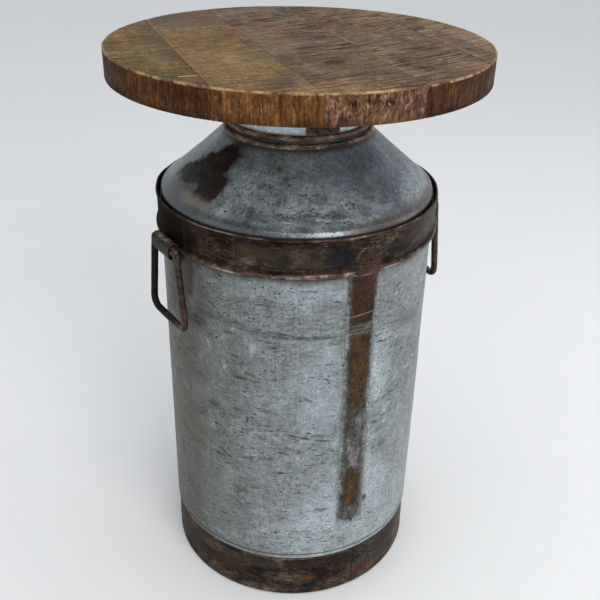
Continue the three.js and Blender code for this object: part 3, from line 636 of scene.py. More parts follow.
        # painted shade along the foot away from the front; the right part is tinted rust brown
        low = m.step(z, 0.4900, 0.4985, 1.0, 0.0)
        mid_ = m.math("MULTIPLY", m.step(th, -0.42, -0.12), m.step(th, 0.20, 0.46, 1.0, 0.0))
        edge_shade_and_rust = m.math("MULTIPLY", m.math("SUBTRACT", 1.0, mid_), low)
        c = m.mix(m.math("MULTIPLY", edge_shade_and_rust, 0.72), c, m.mix(m.step(th, -0.2, 0.5), (0.070, 0.072, 0.074), (0.085, 0.062, 0.048)))
        # painted highlights: pale glint streaks along the foot
        streak_mask = m.step(lines, 0.50, 0.40)
        for az, zc, sa, sz, k in [(11, 499.4, 5.5, 1.3, 0.75), (-2, 497.0, 5.0, 1.0, 0.55), (20, 497.5, 4.0, 1.0, 0.50)]:
            q = m.math("MULTIPLY", m.spot(th, z, az * DEG, zc * MM, sa * DEG, sz * MM, e, 0.7), streak_mask)
            c = m.mix(m.math("MULTIPLY", q, k), c, (0.70, 0.76, 0.79))
    # painted shade under the top, darker near the neck; and below the hoop's rim, on the skirt and the bottom disc
    c = m.mix(m.step(z, 0.5450, 0.5500, 0.0, 0.75), c, (0.045, 0.040, 0.036))
    c = m.mix(m.step(z, 0.4858, 0.4880, 0.80, 0.0), c, (0.050, 0.042, 0.036))
    rough = m.math("SUBTRACT", m.step(cloud, 0.3, 0.7, 0.33, 0.48), m.step(z, 0.4985, 0.4900, 0.0, 0.10))
    metal = 0.50
    if stain:
        rough = m.math("ADD", rough, m.math("MULTIPLY", st, 0.22))
        metal = m.math("ADD", 0.50, m.math("MULTIPLY", st, 0.35))
    h = m.math("ADD", m.math("MULTIPLY", cloud, 0.5), m.math("MULTIPLY", fine, 0.45))
    h = m.math("SUBTRACT", h, m.math("MULTIPLY", nick, 0.4))
    return m.finish(c, rough, metal, m.bump(h, 0.34, 0.0009), spec=0.30)


def zinc_neck():
    m = Mat("zinc_neck")
    P = m.tc
    th, r, z = m.polar()
    cloud = m.noise(m.mapping(P, (1, 1, 0.5)), 70.0, 6.0, 0.65, 0.5)
    fine = m.noise(P, 420.0, 4.0, 0.7)
    c = m.ramp(cloud, [(0.30, (0.26, 0.31, 0.33)), (0.5, (0.42, 0.50, 0.53)), (0.68, (0.62, 0.72, 0.75))])
    c = m.mix(m.step(m.noise(m.mapping(P, (90, 90, 10)), 1.0, 3.0, 0.6), 0.5, 0.75, 0.0, 0.4), c, (0.22, 0.25, 0.26))
    c = m.mix(m.step(fine, 0.55, 0.75, 0.0, 0.3), c, (0.10, 0.10, 0.10))
    c = m.grain(c, P, 260.0, 1.6)
    rust = m.step(z, 0.5635, 0.5675, 0.65, 0.0)
    c = m.mix(rust, c, (0.11, 0.085, 0.065))
    rim = m.math("MULTIPLY", m.step(z, 0.601, 0.604), 0.6)
    c = m.mix(rim, c, (0.13, 0.10, 0.08))
    return m.finish(c, m.step(cloud, 0.3, 0.7, 0.33, 0.5), 0.55, m.bump(m.math("ADD", cloud, m.math("MULTIPLY", fine, 0.4)), 0.25, 0.0008))


def rusty(name, tone=1.0, patches=(), gloss=0.0, edges=None, seed=0.0, laps=(), bulge=None, shade=0.0, glints=()):
    """Dark brown rusted, waxed steel. edges = bands worn brighter; laps = angles of lap lines."""
    m = Mat(name)
    P = m.mapping(m.tc, loc=(seed, seed * 0.7, seed * 0.3))
    th, r, z = m.polar()
    broad = m.noise(m.mapping(P, (1, 1, 1.8)), 17.0, 5.0, 0.62, 0.5)
    cloud = m.noise(m.mapping(P, (1, 1, 1.3), loc=(4, 1, 2)), 75.0, 6.0, 0.70, 0.3)
    fine = m.noise(P, 430.0, 5.0, 0.72)
    k = tone
    v = m.math("ADD", m.math("MULTIPLY", broad, 0.58), m.math("MULTIPLY", cloud, 0.34))
    v = m.math("ADD", v, m.math("MULTIPLY", fine, 0.08))
    c = m.ramp(v, [(0.40, (0.005 * k, 0.004 * k, 0.004 * k)), (0.46, (0.017 * k, 0.011 * k, 0.008 * k)), (0.52, (0.043 * k, 0.029 * k, 0.019 * k)),
                   (0.57, (0.088 * k, 0.063 * k, 0.042 * k)), (0.64, (0.145 * k, 0.112 * k, 0.084 * k))])
    c = m.mix(m.step(m.noise(m.mapping(P, (1, 1, 2.0), loc=(9, 3, 7)), 33.0, 6.0, 0.7), 0.53, 0.72, 0.0, 0.55), c, (0.055 * k, 0.022 * k, 0.014 * k))
    c = m.mix(m.step(m.noise(m.mapping(P, loc=(2, 8, 3)), 24.0, 6.0, 0.72), 0.56, 0.72, 0.0, 0.60), c, (0.011, 0.010, 0.012))
    scratch = m.noise(m.mapping(P, (60, 60, 700)), 1.0, 3.0, 0.6, 0.4)
    c = m.mix(m.step(scratch, 0.58, 0.68, 0.0, 0.45), c, (0.120 * k, 0.095 * k, 0.075 * k))
    c = m.mix(m.step(scratch, 0.42, 0.33, 0.0, 0.55), c, (0.010 * k, 0.008 * k, 0.007 * k))
    c = m.mix(m.step(fine, 0.58, 0.76, 0.0, 0.45), c, (0.012, 0.009, 0.008))
    c = m.grain(c, m.mapping(P, (0.55, 0.55, 2.2), loc=(3, 2, 1)), 170.0, 2.2)
    c = m.grain(c, m.mapping(P, (0.8, 0.8, 1.7), loc=(6, 1, 7)), 330.0, 3.4)
    e = centred(m, cloud, 1.8)
    for ca, cb, sa, sb, col, amt in patches:
        q = m.spot(th, z, ca * DEG, cb * MM, sa * DEG, sb * MM, e, 0.6)
        c = m.mix(m.math("MULTIPLY", q, amt), c, m.mix(m.step(fine, 0.3, 0.7), tuple(v_ * 0.5 for v_ in col), col))
    # painted shade on the left side of the band
    if shade:
        c = m.mix(m.math("MULTIPLY", m.step(th, -0.98, -0.26, shade, 0.0), m.step(th, -3.10, -1.6)), c, (0.0060, 0.0038, 0.0018))
    worn = None
    for kind, lo, hi, amt in (edges or []):
        coord = {"z": z, "r": r}[kind]
        mid, half = (lo + hi) / 2 * MM, (hi - lo) / 2 * MM
        w = m.step(m.math("ABSOLUTE", m.math("SUBTRACT", coord, mid)), half * 0.35, half, 1.0, 0.0)
        w = m.math("MULTIPLY", m.math("MULTIPLY", w, amt), m.step(cloud, 0.38, 0.60, 0.15, 1.0))
        c = m.mix(w, c, m.mix(m.step(m.noise(P, 26.0, 4.0, 0.62), 0.50, 0.64), (0.115, 0.070, 0.050), (0.440, 0.350, 0.300)))
        worn = w if worn is None else m.math("MAXIMUM", worn, w)
    # painted shade: a thin dark line in the crease above the bead
    if glints:
        q = m.step(m.math("ABSOLUTE", m.math("SUBTRACT", m.math("ADD", z, m.math("MULTIPLY", e, 0.0004)), 0.4517)), 0.0004, 0.0014, 0.55, 0.0)
        c = m.mix(m.math("MULTIPLY", q, m.step(broad, 0.40, 0.55, 0.35, 1.0)), c, (0.012, 0.008, 0.006))
    # painted highlights (glints) on the bead
    for ca, cb, sa, sb, col, amt in glints:
        q = m.math("MULTIPLY", m.spot(th, z, ca * DEG, cb * MM, sa * DEG, sb * MM, e, 0.5), m.step(m.noise(P, 150.0, 3.0, 0.6), 0.44, 0.56))
        c = m.mix(m.math("MULTIPLY", q, amt), c, col)
        worn = q if worn is None else m.math("MAXIMUM", worn, q)
    for az in laps:
        q = m.step(m.math("ABSOLUTE", m.math("SUBTRACT", th, m.math("ADD", az * DEG, m.math("MULTIPLY", e, 0.0015)))), 0.0016, 0.0046, 0.85, 0.0)
        c = m.mix(q, c, (0.006, 0.005, 0.005))
        q = m.math("MULTIPLY", m.step(m.math("SUBTRACT", th, az * DEG), -0.03, -0.004), m.step(m.math("SUBTRACT", th, az * DEG), -0.003, 0.0, 1.0, 0.0))
        c = m.mix(m.math("MULTIPLY", q, 0.35), c, (0.060, 0.026, 0.018))
    if bulge:
        # painted highlight along the upper outline of the bulge, and a hammered middle where the band passes over the
        # seam strap
        ds = m.math("MULTIPLY", m.math("SUBTRACT", th, bulge[0] * DEG), 0.156)
        dz = m.math("SUBTRACT", z, bulge[1] * MM)
        dd = m.math("ADD", m.math("SQRT", m.math("ADD", m.math("MULTIPLY", ds, ds), m.math("MULTIPLY", dz, dz))), m.math("MULTIPLY", e, 0.0012))
        ridge_highlight = m.math("MULTIPLY", m.step(m.math("ABSOLUTE", m.math("SUBTRACT", dd, 0.0142)), 0.0004, 0.0016, 1.0, 0.0), m.step(dz, -0.004, 0.004))
        ridge_highlight = m.math("MULTIPLY", ridge_highlight, m.step(m.noise(m.mapping(P, loc=(7, 7, 2)), 95.0, 3.0, 0.6), 0.42, 0.58, 0.15, 1.0))
        c = m.mix(m.math("MULTIPLY", m.math("MULTIPLY", ridge_highlight, m.step(fine, 0.44, 0.58)), 0.50), c, (0.190, 0.165, 0.145))
        q = m.math("MULTIPLY", m.step(m.math("ABSOLUTE", ds), 0.0085, 0.0150, 1.0, 0.0), m.step(dz, -0.013, 0.004, 1.0, 0.0))
        c = m.mix(m.math("MULTIPLY", q, m.step(cloud, 0.40, 0.60, 0.35, 0.75)), c, m.mix(m.step(fine, 0.35, 0.62), (0.030, 0.014, 0.011), (0.105, 0.056, 0.044)))
        worn = ridge_highlight if worn is None else m.math("MAXIMUM", worn, ridge_highlight)
    rough = m.step(cloud, 0.3, 0.72, 0.36 - gloss, 0.58 - gloss)
    if shade:
        rough = m.math("ADD", rough, m.math("MULTIPLY", m.step(th, -1.05, -0.62, 0.42 * shade, 0.0), m.step(th, -3.10, -1.6)))
    if worn is not None:
        rough = m.math("SUBTRACT", rough, m.math("MULTIPLY", worn, 0.22))
    h = m.math("ADD", m.math("MULTIPLY", cloud, 0.6), m.math("MULTIPLY", fine, 0.5))
    metal = 0.14 if worn is None else m.math("MULTIPLY_ADD", worn, 0.55, 0.14)
    if shade > 0.5:
        metal = m.math("MULTIPLY", metal, m.step(th, -1.10, -0.60, 0.25, 1.0))
    return m.finish(c, rough, metal, m.bump(h, 0.42, 0.0009), spec=0.03 if shade > 0.5 else 0.07)


def seam_material():
    m = Mat("seam_rust")
    P = m.tc
    th, r, z = m.polar()
    s = m.math("MULTIPLY", m.math("SUBTRACT", th, SEAM_AZ * DEG), BODY_R * MM)
    edge = centred(m, m.noise(m.mapping(P, (1, 1, 0.7)), 60.0, 6.0, 0.68), 0.011)
    core_half = m.step(z, 0.20, 0.43, 0.0, 0.0046)
    d = m.math("SUBTRACT", m.math("ADD", m.math("ABSOLUTE", m.math("ADD", s, m.step(z, 0.15, 0.40, 0.0002, -0.0006))), edge), core_half)
    fine = m.noise(P, 400.0, 5.0, 0.72)
    cloud = m.noise(m.mapping(P, (1, 1, 0.6)), 62.0, 6.0, 0.7)
    solder = m.ramp(cloud, [(0.38, (0.034, 0.031, 0.028)), (0.50, (0.080, 0.077, 0.070)), (0.62, (0.155, 0.157, 0.152))])
    solder = m.mix(m.math("MULTIPLY", m.step(m.math("ABSOLUTE", s), 0.0120, 0.0165), 0.55), solder, m.mix(fine, (0.10, 0.11, 0.11), (0.36, 0.40, 0.41)))
    rust = m.ramp(m.noise(m.mapping(P, (1, 1, 0.6), loc=(1, 1, 1)), 40.0, 6.0, 0.70),
                  [(0.34, (0.011, 0.007, 0.004)), (0.47, (0.024, 0.012, 0.005)), (0.58, (0.048, 0.022, 0.006)), (0.70, (0.110, 0.048, 0.010))])
    top = m.step(z, 0.398, 0.424)
    mid_ = m.math("MULTIPLY", m.step(z, 0.26, 0.30), m.step(z, 0.345, 0.375, 1.0, 0.0))
    rust = m.mix(m.math("MULTIPLY", mid_, m.step(cloud, 0.42, 0.60, 0.15, 0.65)), rust, (0.090, 0.040, 0.009))
    rust = m.mix(m.math("MULTIPLY", top, 0.85), rust, m.mix(m.step(fine, 0.3, 0.7), (0.012, 0.005, 0.004), (0.062, 0.024, 0.013)))
    rust = m.mix(m.step(m.noise(m.mapping(P, (1, 1, 1), loc=(8, 2, 2)), 95.0, 5.0, 0.7), 0.52, 0.66, 0.0, 0.6), rust, (0.020, 0.015, 0.012))
    bare = m.math("MULTIPLY", m.step(z, 0.184, 0.198), m.step(z, 0.245, 0.292, 1.0, 0.0))
    gap = m.math("MULTIPLY", m.step(z, 0.368, 0.373), m.step(z, 0.381, 0.387, 0.75, 0.0))
    low = m.step(z, 0.130, 0.141, 1.0, 0.0)
    core = m.math("MULTIPLY", m.step(d, 0.0068, 0.0112, 1.0, 0.0), m.math("SUBTRACT", 1.0, m.math("MAXIMUM", m.math("MAXIMUM", bare, gap), low)))
    c = m.mix(core, solder, rust)
    # dark outline where the rust meets the solder
    rimd = m.math("MULTIPLY", m.step(m.math("ABSOLUTE", m.math("SUBTRACT", d, 0.0092)), 0.0006, 0.0032, 1.0, 0.0), 0.55)
    c = m.mix(rimd, c, (0.030, 0.026, 0.022))
    c = m.mix(m.step(fine, 0.56, 0.74, 0.0, 0.45), c, (0.020, 0.016, 0.013))
    c = m.mix(m.math("MULTIPLY", top, m.step(cloud, 0.38, 0.60, 0.35, 0.70)), c, (0.044, 0.013, 0.004))
    line = m.math("MULTIPLY", m.step(m.math("ABSOLUTE", m.math("SUBTRACT", z, m.math("ADD", 0.3955, m.math("MULTIPLY", s, 0.10)))), 0.0003, 0.0009, 1.0, 0.0), 0.65)
    c = m.mix(line, c, (0.30, 0.23, 0.15))
    for zc, k in ((0.3825, 0.35), (0.3780, 0.25), (0.3735, 0.30)):
        q = m.step(m.math("ABSOLUTE", m.math("SUBTRACT", z, m.math("ADD", zc, m.math("MULTIPLY", edge, 0.12)))), 0.0002, 0.0008, 1.0, 0.0)
        c = m.mix(m.math("MULTIPLY", q, k), c, (0.26, 0.25, 0.22))
    glint = m.step(m.noise(m.mapping(P, (1, 1, 0.3), loc=(3, 3, 3)), 160.0, 3.0, 0.6), 0.60, 0.70, 0.0, 0.5)
    c = m.mix(m.math("MULTIPLY", glint, m.step(m.math("ABSOLUTE", s), 0.011, 0.014)), c, (0.34, 0.36, 0.37))
    c = m.grain(c, m.mapping(P, (1, 1, 0.8), loc=(3, 2, 1)), 200.0, 2.0)
    c = m.grain(c, m.mapping(P, loc=(6, 1, 7)), 390.0, 2.6)
    h = m.math("ADD", m.math("MULTIPLY", cloud, 0.6), m.math("MULTIPLY", fine, 0.5))
    return m.finish(c, m.step(cloud, 0.3, 0.7, 0.36, 0.56), 0.15, m.bump(h, 0.45, 0.0010), spec=0.16)


def handle_material(name, seed, tone=1.0, shade=None):
    m = Mat(name)
    P = m.mapping(m.tc, loc=(seed, seed, seed))
    k = tone
    broad = m.noise(P, 38.0, 5.0, 0.65, 0.5)
    cloud = m.noise(P, 150.0, 6.0, 0.7)
    fine = m.noise(P, 600.0, 4.0, 0.7)
    c = m.ramp(broad, [(0.28, (0.018 * k, 0.012 * k, 0.009 * k)), (0.46, (0.034 * k, 0.023 * k, 0.018 * k)), (0.58, (0.056 * k, 0.039 * k, 0.031 * k)),
                       (0.72, (0.092 * k, 0.067 * k, 0.054 * k))])
    c = m.mix(m.step(cloud, 0.5, 0.7, 0.0, 0.55), c, (0.026 * k, 0.014 * k, 0.011 * k))
    c = m.mix(m.step(fine, 0.56, 0.74, 0.0, 0.4), c, (0.012, 0.009, 0.008))
    c = m.grain(c, P, 240.0, 2.2)
    # painted shade on the leg towards the back
    if shade:
        x = m.sep(m.tc)[0]
        c = m.mix(m.step(x, shade[0], shade[1], 0.88, 0.0), c, (0.006, 0.0045, 0.004))
    h = m.math("ADD", m.math("MULTIPLY", cloud, 0.7), m.math("MULTIPLY", fine, 0.4))
    rough = m.step(cloud, 0.3, 0.7, 0.20, 0.38)
    metal = 0.50
    if shade:
        dull = m.step(x, shade[0], shade[1], 1.0, 0.0)
        rough = m.math("ADD", rough, m.math("MULTIPLY", dull, 0.40))
        metal = m.math("MULTIPLY_ADD", dull, -0.45, 0.50)
    return m.finish(c, rough, metal, m.bump(h, 0.14, 0.0006), spec=0.12 if shade else 0.30)


def board_coords(m):
    """u across the boards, v along them, z up, in metres."""
    return m.mapping(m.tc, rot=(0, 0, -BOARD_ANGLE * DEG))


KNOTS = {3: [(0.6, -95.6, 8.5, 5.6, 0.9), (-6.1, 114.4, 8.0, 4.5, 0.7)], 4: [(95.0, 15.2, 4.0, 6.0, 0.5)], 2: [(-69.0, -158.0, 6.0, 4.0, 0.5)],
         1: [(-152.0, 60.0, 4.0, 5.0, 0.5)], 5: [(165.0, -40.0, 4.0, 5.0, 0.4)]}


def wood(index, dark, mid, light, rim_dark, rim_mid, rim_light, saw=0.5, seed=0.0, extra=None, torn=None):
    m = Mat(f"wood_board_{index}")
    B = board_coords(m)
    u, v, z = m.sep(B)
    x0, y0, z0 = m.sep(m.tc)
    r = m.math("SQRT", m.math("ADD", m.math("MULTIPLY", x0, x0), m.math("MULTIPLY", y0, y0)))
    S = m.mapping(B, loc=(seed, seed * 2.3, 0))
    broad = m.noise(m.mapping(S, (1, 0.45, 1)), 11.0, 5.0, 0.6, 0.6)
    cloud = m.noise(m.mapping(S, (1, 0.5, 1), loc=(3, 1, 2)), 42.0, 6.0, 0.66, 0.5)
    # growth rings: long lines along the board, bent by slow noise
    bend = m.noise(m.mapping(S, (1, 0.35, 1)), 9.0, 2.0, 0.5)
    lines = m.noise(m.mapping(m.comb(m.math("ADD", m.math("MULTIPLY", u, 210.0), m.math("MULTIPLY", bend, 9.0)), m.math("MULTIPLY", v, 5.0), m.math("MULTIPLY", z, 30.0)),
                              loc=(seed, 0, 0)), 1.0, 5.0, 0.62, 0.2)
    fibre = m.noise(m.mapping(S, (900, 26, 300)), 1.0, 3.0, 0.6)
    grit = m.noise(m.mapping(S, (1, 0.8, 1), loc=(1, 7, 1)), 260.0, 4.0, 0.72)
    ang = 12.5 * DEG
    ca, sa = math.cos(ang), math.sin(ang)
    su = m.math("ADD", m.math("MULTIPLY", u, ca), m.math("MULTIPLY", v, sa))
    sv = m.math("SUBTRACT", m.math("MULTIPLY", v, ca), m.math("MULTIPLY", u, sa))
    curve = m.math("MULTIPLY", m.math("MULTIPLY", su, su), 0.40)
    sv = m.math("SUBTRACT", sv, curve)
    streak = m.noise(m.comb(m.math("MULTIPLY", su, 34.0), m.math("MULTIPLY", sv, 270.0), seed + 1.0), 1.0, 3.0, 0.60, 0.35)
    v0 = m.math("ADD", m.math("MULTIPLY", broad, 0.36), m.math("MULTIPLY", cloud, 0.20))
    v0 = m.math("ADD", v0, m.math("MULTIPLY", streak, 0.19 + 0.08 * saw))
    v0 = m.math("ADD", v0, m.math("MULTIPLY", grit, 0.25 - 0.08 * saw))
    c = m.ramp(v0, [(0.40, tuple(a * 0.85 for a in dark)), (0.50, mid), (0.61, tuple(min(1, a * 1.18) for a in light))])
    c = m.mix(m.step(lines, 0.54, 0.70, 0.0, 0.36), c, tuple(a * 0.60 for a in dark))
    c = m.mix(m.step(fibre, 0.55, 0.72, 0.0, 0.36), c, tuple(a * 0.50 for a in dark))
    grey = m.step(m.noise(m.mapping(S, (1.3, 0.8, 1), loc=(5, 5, 5)), 13.0, 5.0, 0.66, 0.6), 0.54, 0.70, 0.0, 0.42)
    c = m.mix(grey, c, m.mix(grit, (0.115, 0.092, 0.070), (0.300, 0.255, 0.205)))
    # rough-sawn marks: nearly square across the boards, slightly curved
    sawn = m.noise(m.comb(m.math("MULTIPLY", su, 30.0), m.math("MULTIPLY", sv, 360.0), seed + 2.0), 1.0, 2.0, 0.55, 0.15)
    sawn2 = m.noise(m.comb(m.math("MULTIPLY", su, 15.0), m.math("MULTIPLY", sv, 230.0), seed + 5.0), 1.0, 2.0, 0.55, 0.20)
    sawn3 = m.noise(m.comb(m.math("MULTIPLY", su, 7.0), m.math("MULTIPLY", sv, 120.0), seed + 8.0), 1.0, 2.0, 0.50, 0.20)
    where = m.step(m.noise(m.mapping(S, loc=(6, 6, 1)), 9.0, 3.0, 0.5), 0.38, 0.58, 0.20, 1.0)
    fine_cut = m.math("MULTIPLY", m.step(sawn, 0.562, 0.602), 0.82)
    mid_cut = m.math("MULTIPLY", m.step(sawn2, 0.620, 0.650), 0.95)
    long_cut = m.step(m.math("ABSOLUTE", m.math("SUBTRACT", sawn3, 0.56)), 0.003, 0.012, 0.95, 0.0)
    sm = m.math("MULTIPLY", m.math("MAXIMUM", m.math("MAXIMUM", fine_cut, mid_cut), long_cut), m.math("MULTIPLY", where, saw))
    c = m.mix(sm, c, tuple(a * 0.34 for a in dark))
    c = m.mix(m.math("MULTIPLY", m.step(sawn, 0.40, 0.33), m.math("MULTIPLY", where, saw * 0.50)), c, tuple(min(1, a * 1.45) for a in light))
    nick = m.noise(m.comb(m.math("MULTIPLY", su, 70.0), m.math("MULTIPLY", sv, 260.0), seed + 11.0), 1.0, 3.0, 0.6, 0.5)
    c = m.mix(m.math("MULTIPLY", m.step(nick, 0.66, 0.69), m.math("MULTIPLY", where, 0.55)), c, tuple(min(1, a * 1.6) for a in light))
    c = m.mix(m.math("MULTIPLY", m.step(nick, 0.36, 0.33), m.math("MULTIPLY", where, 0.65)), c, tuple(a * 0.40 for a in dark))
    c = m.grain(c, m.mapping(S, (1, 0.8, 1), loc=(3, 2, 1)), 210.0, 0.8)
    c = m.grain(c, m.mapping(S, (1, 0.8, 1), loc=(6, 1, 7)), 400.0, 1.7)
    # knots
    e = centred(m, m.noise(S, 130.0, 4.0, 0.6), 0.7)
    knoth = None
    for ku, kv, su_, sv_, amt in KNOTS.get(index, []):
        du = m.math("DIVIDE", m.math("SUBTRACT", u, ku * MM), su_ * MM)
        dv = m.math("DIVIDE", m.math("SUBTRACT", v, kv * MM), sv_ * MM)
        d = m.math("ADD", m.math("SQRT", m.math("ADD", m.math("MULTIPLY", du, du), m.math("MULTIPLY", dv, dv))), m.math("MULTIPLY", e, 0.6))
        c = m.mix(m.step(d, 0.9, 1.9, 0.40 * amt, 0.0), c, tuple(a * 0.55 for a in dark))
        c = m.mix(m.step(d, 0.95, 1.05, 0.45 * amt, 0.0), c, tuple(a * 0.60 for a in dark))
        for rk, wk, ak in ((1.0, 0.22, 0.85), (0.62, 0.14, 0.45), (0.1, 0.30, 0.55)):
            q = m.step(m.math("ABSOLUTE", m.math("SUBTRACT", d, rk)), wk * 0.5, wk, ak * amt, 0.0)
            c = m.mix(q, c, tuple(a * 0.14 for a in dark))
        hk = m.math("MULTIPLY", m.step(d, 0.85, 1.15, 1.0, 0.0), amt)
        knoth = hk if knoth is None else m.math("MAXIMUM", knoth, hk)
    if extra:
        c = extra(m, c, u, v, z, r, e, cloud)
    # dirt in the joints, heavier in some than in others
    for s, amt, pa in zip(SEAMS, (0.45, 0.05, 0.14, 0.75), (0.20, 0.20, 0.50, 0.10)):
        d = m.math("ABSOLUTE", m.math("SUBTRACT", u, s * MM))
        jm = m.step(m.math("ADD", d, m.math("MULTIPLY", e, 0.0014)), 0.0001, 0.0013, amt, 0.0)
        c = m.mix(jm, c, tuple(a * 0.30 for a in dark))
        pale = m.math("MULTIPLY", m.step(m.math("ABSOLUTE", m.math("SUBTRACT", u, s * MM + 0.0022)), 0.0004, 0.0018, 1.0, 0.0), m.step(cloud, 0.46, 0.62, 0.0, 0.9 * pa))
        c = m.mix(pale, c, tuple(min(1, a * 1.4) for a in light))
    # sawn edge of the round top: end and cross grain, upright saw lines
    rn = m.noise(m.mapping(m.tc, (620, 620, 16)), 1.0, 4.0, 0.68, 0.3)
    rn2 = m.noise(m.mapping(m.tc, (170, 170, 22), loc=(seed, 3, 1)), 1.0, 5.0, 0.66, 0.5)
    rb = m.noise(m.mapping(m.tc, (1, 1, 1.4), loc=(seed, 1, 1)), 38.0, 6.0, 0.70, 0.4)
    rg = m.noise(m.mapping(m.tc, (1, 1, 0.6), loc=(seed, 4, 4)), 330.0, 4.0, 0.7)
    rv = m.math("ADD", m.math("MULTIPLY", rn2, 0.34), m.math("MULTIPLY", rb, 0.42))
    rv = m.math("ADD", rv, m.math("MULTIPLY", rg, 0.24))
    rc = m.ramp(rv, [(0.38, rim_dark), (0.50, rim_mid), (0.63, rim_light)])
    rc = m.mix(m.step(rn, 0.54, 0.63, 0.0, 0.50), rc, tuple(a * 0.45 for a in rim_dark))
    rc = m.mix(m.step(rn, 0.41, 0.34, 0.0, 0.45), rc, tuple(min(1, a * 1.6) for a in rim_light))
    scr = m.noise(m.mapping(m.tc, (900, 900, 40), loc=(1, seed, 1)), 1.0, 3.0, 0.6, 0.5)
    scr = m.math("MULTIPLY", m.step(scr, 0.62, 0.66), m.step(rb, 0.46, 0.58))
    rc = m.mix(m.math("MULTIPLY", scr, 0.60), rc, tuple(min(1, a * 2.4 + 0.05) for a in rim_light))
    rc = m.grain(rc, m.mapping(m.tc, (1, 1, 0.28), loc=(3, seed, 1)), 250.0, 2.2)
    rc = m.grain(rc, m.mapping(m.tc, (1, 1, 0.7), loc=(6, seed, 7)), 390.0, 1.7)
    if torn:
        # torn grain with pale splinters
        az = m.math("ARCTAN2", x0, m.math("MULTIPLY", y0, -1.0))
        ar = m.spot(az, z, torn[0] * DEG, 0.6265, torn[1] * DEG, 0.013, e, 0.7)
        tn = m.noise(m.mapping(m.tc, (1, 1, 0.55), loc=(9, 9, 1)), 200.0, 4.0, 0.68, 0.8)
        rc = m.mix(m.math("MULTIPLY", ar, m.step(tn, 0.46, 0.40, 0.0, 0.85)), rc, tuple(a * 0.28 for a in rim_dark))
        rc = m.mix(m.math("MULTIPLY", ar, m.step(tn, 0.575, 0.61, 0.0, 0.75)), rc, (0.33, 0.225, 0.14))
    lowd = m.step(z, 0.611, 0.620, 0.40, 0.0)
    rc = m.mix(lowd, rc, tuple(a * 0.5 for a in rim_dark))
    side = m.math("MULTIPLY", m.step(r, 0.1985, 0.1993), m.step(z, 0.6384, 0.6392, 1.0, 0.0))
    c = m.mix(side, c, rc)
    # worn arris along the top edge
    wn = m.noise(m.mapping(m.tc, loc=(2, 2, 2)), 60.0, 6.0, 0.72)
    arris = m.math("MULTIPLY", m.step(m.math("ADD", r, m.math("MULTIPLY", e, 0.0016)), 0.1978, 0.1988), m.step(m.math("ADD", z, m.math("MULTIPLY", e, 0.0008)), 0.6374, 0.6386))
    arris = m.math("MULTIPLY", arris, m.step(wn, 0.42, 0.55, 0.12, 1.0))
    c = m.mix(m.math("MULTIPLY", arris, 0.85), c, m.mix(m.step(wn, 0.4, 0.7), (0.23, 0.145, 0.062), (0.50, 0.36, 0.19)))
    under = m.step(z, 0.6108, 0.6116, 1.0, 0.0)
    c = m.mix(m.math("MULTIPLY", under, 0.35), c, tuple(a * 0.8 for a in mid))
    rough = m.math("ADD", m.step(cloud, 0.3, 0.7, 0.50, 0.66), m.math("MULTIPLY", sm, 0.15))
    h = m.math("ADD", m.math("MULTIPLY", lines, 0.30), m.math("MULTIPLY", fibre, 0.16))
    h = m.math("SUBTRACT", h, m.math("MULTIPLY", sm, 0.60))
    if knoth is not None:
        h = m.math("SUBTRACT", h, m.math("MULTIPLY", knoth, 0.5))
    h = m.math("ADD", m.math("MULTIPLY", h, m.math("SUBTRACT", 1.0, side)), m.math("MULTIPLY", m.math("MULTIPLY", rn, 0.9), side))
    return m.finish(c, rough, 0.0, m.bump(h, 0.60, 0.0012), spec=0.06)


def plain_wood(name, dark, light):
    m = Mat(name)
    S = m.mapping(m.tc, (1, 1, 1))
    n = m.noise(m.mapping(S, (40, 520, 90)), 1.0, 4.0, 0.6, 0.3)
    b = m.noise(S, 18.0, 4.0, 0.6)
    c = m.mix(b, dark, light)
    c = m.mix(m.step(n, 0.48, 0.7, 0.0, 0.5), c, tuple(a * 0.7 for a in dark))
    return m.finish(c, 0.62, 0.0, m.bump(n, 0.3, 0.0006), spec=0.35)


def plated(name):
    m = Mat(name)
    n = m.noise(m.tc, 420.0, 5.0, 0.65)
    b = m.noise(m.tc, 90.0, 3.0, 0.6)
    c = m.ramp(b, [(0.3, (0.26, 0.26, 0.25)), (0.6, (0.46, 0.46, 0.45)), (0.8, (0.56, 0.55, 0.52))])
    return m.finish(c, m.step(n, 0.3, 0.7, 0.26, 0.42), 0.9, m.bump(n, 0.15, 0.0005))


M_BODY = zinc_body()
M_SHOULDER = zinc_shoulder()
M_BASE = zinc_shoulder("zinc_base", stain=False)
M_NECK = zinc_neck()
M_HOOP = rusty("rust_upper_hoop", 0.80, patches=[(2, 466, 13, 10, (0.080, 0.066, 0.046), 0.60), (-16, 470, 7, 8, (0.070, 0.055, 0.036), 0.55), (-4, 463, 3.5, 6, (0.012, 0.011, 0.010), 0.75),
                                                (7, 470, 2.0, 4, (0.012, 0.011, 0.010), 0.6), (16.5, 468, 6.5, 12, (0.013, 0.013, 0.017), 0.85), (40, 466, 9, 9, (0.016, 0.015, 0.017), 0.55),
                                                (28.2, 458, 5.0, 8, (0.055, 0.030, 0.026), 0.65), (-56, 466, 14, 26, (0.013, 0.010, 0.007), 0.80), (60, 468, 12, 10, (0.065, 0.060, 0.055), 0.4)],
               edges=[("z", 443.0, 450.3, 0.88), ("z", 484.4, 487.4, 0.58)], seed=1.0, gloss=0.05, laps=(-22.2, -46.5), bulge=(28.0, 460.5), shade=0.92,
               glints=[(-27, 445.0, 6.5, 1.5, (0.62, 0.55, 0.50), 0.60), (37.5, 445.5, 4.0, 1.7, (0.62, 0.55, 0.50), 0.60), (25.0, 444.5, 4.0, 1.4, (0.40, 0.31, 0.27), 0.5)])
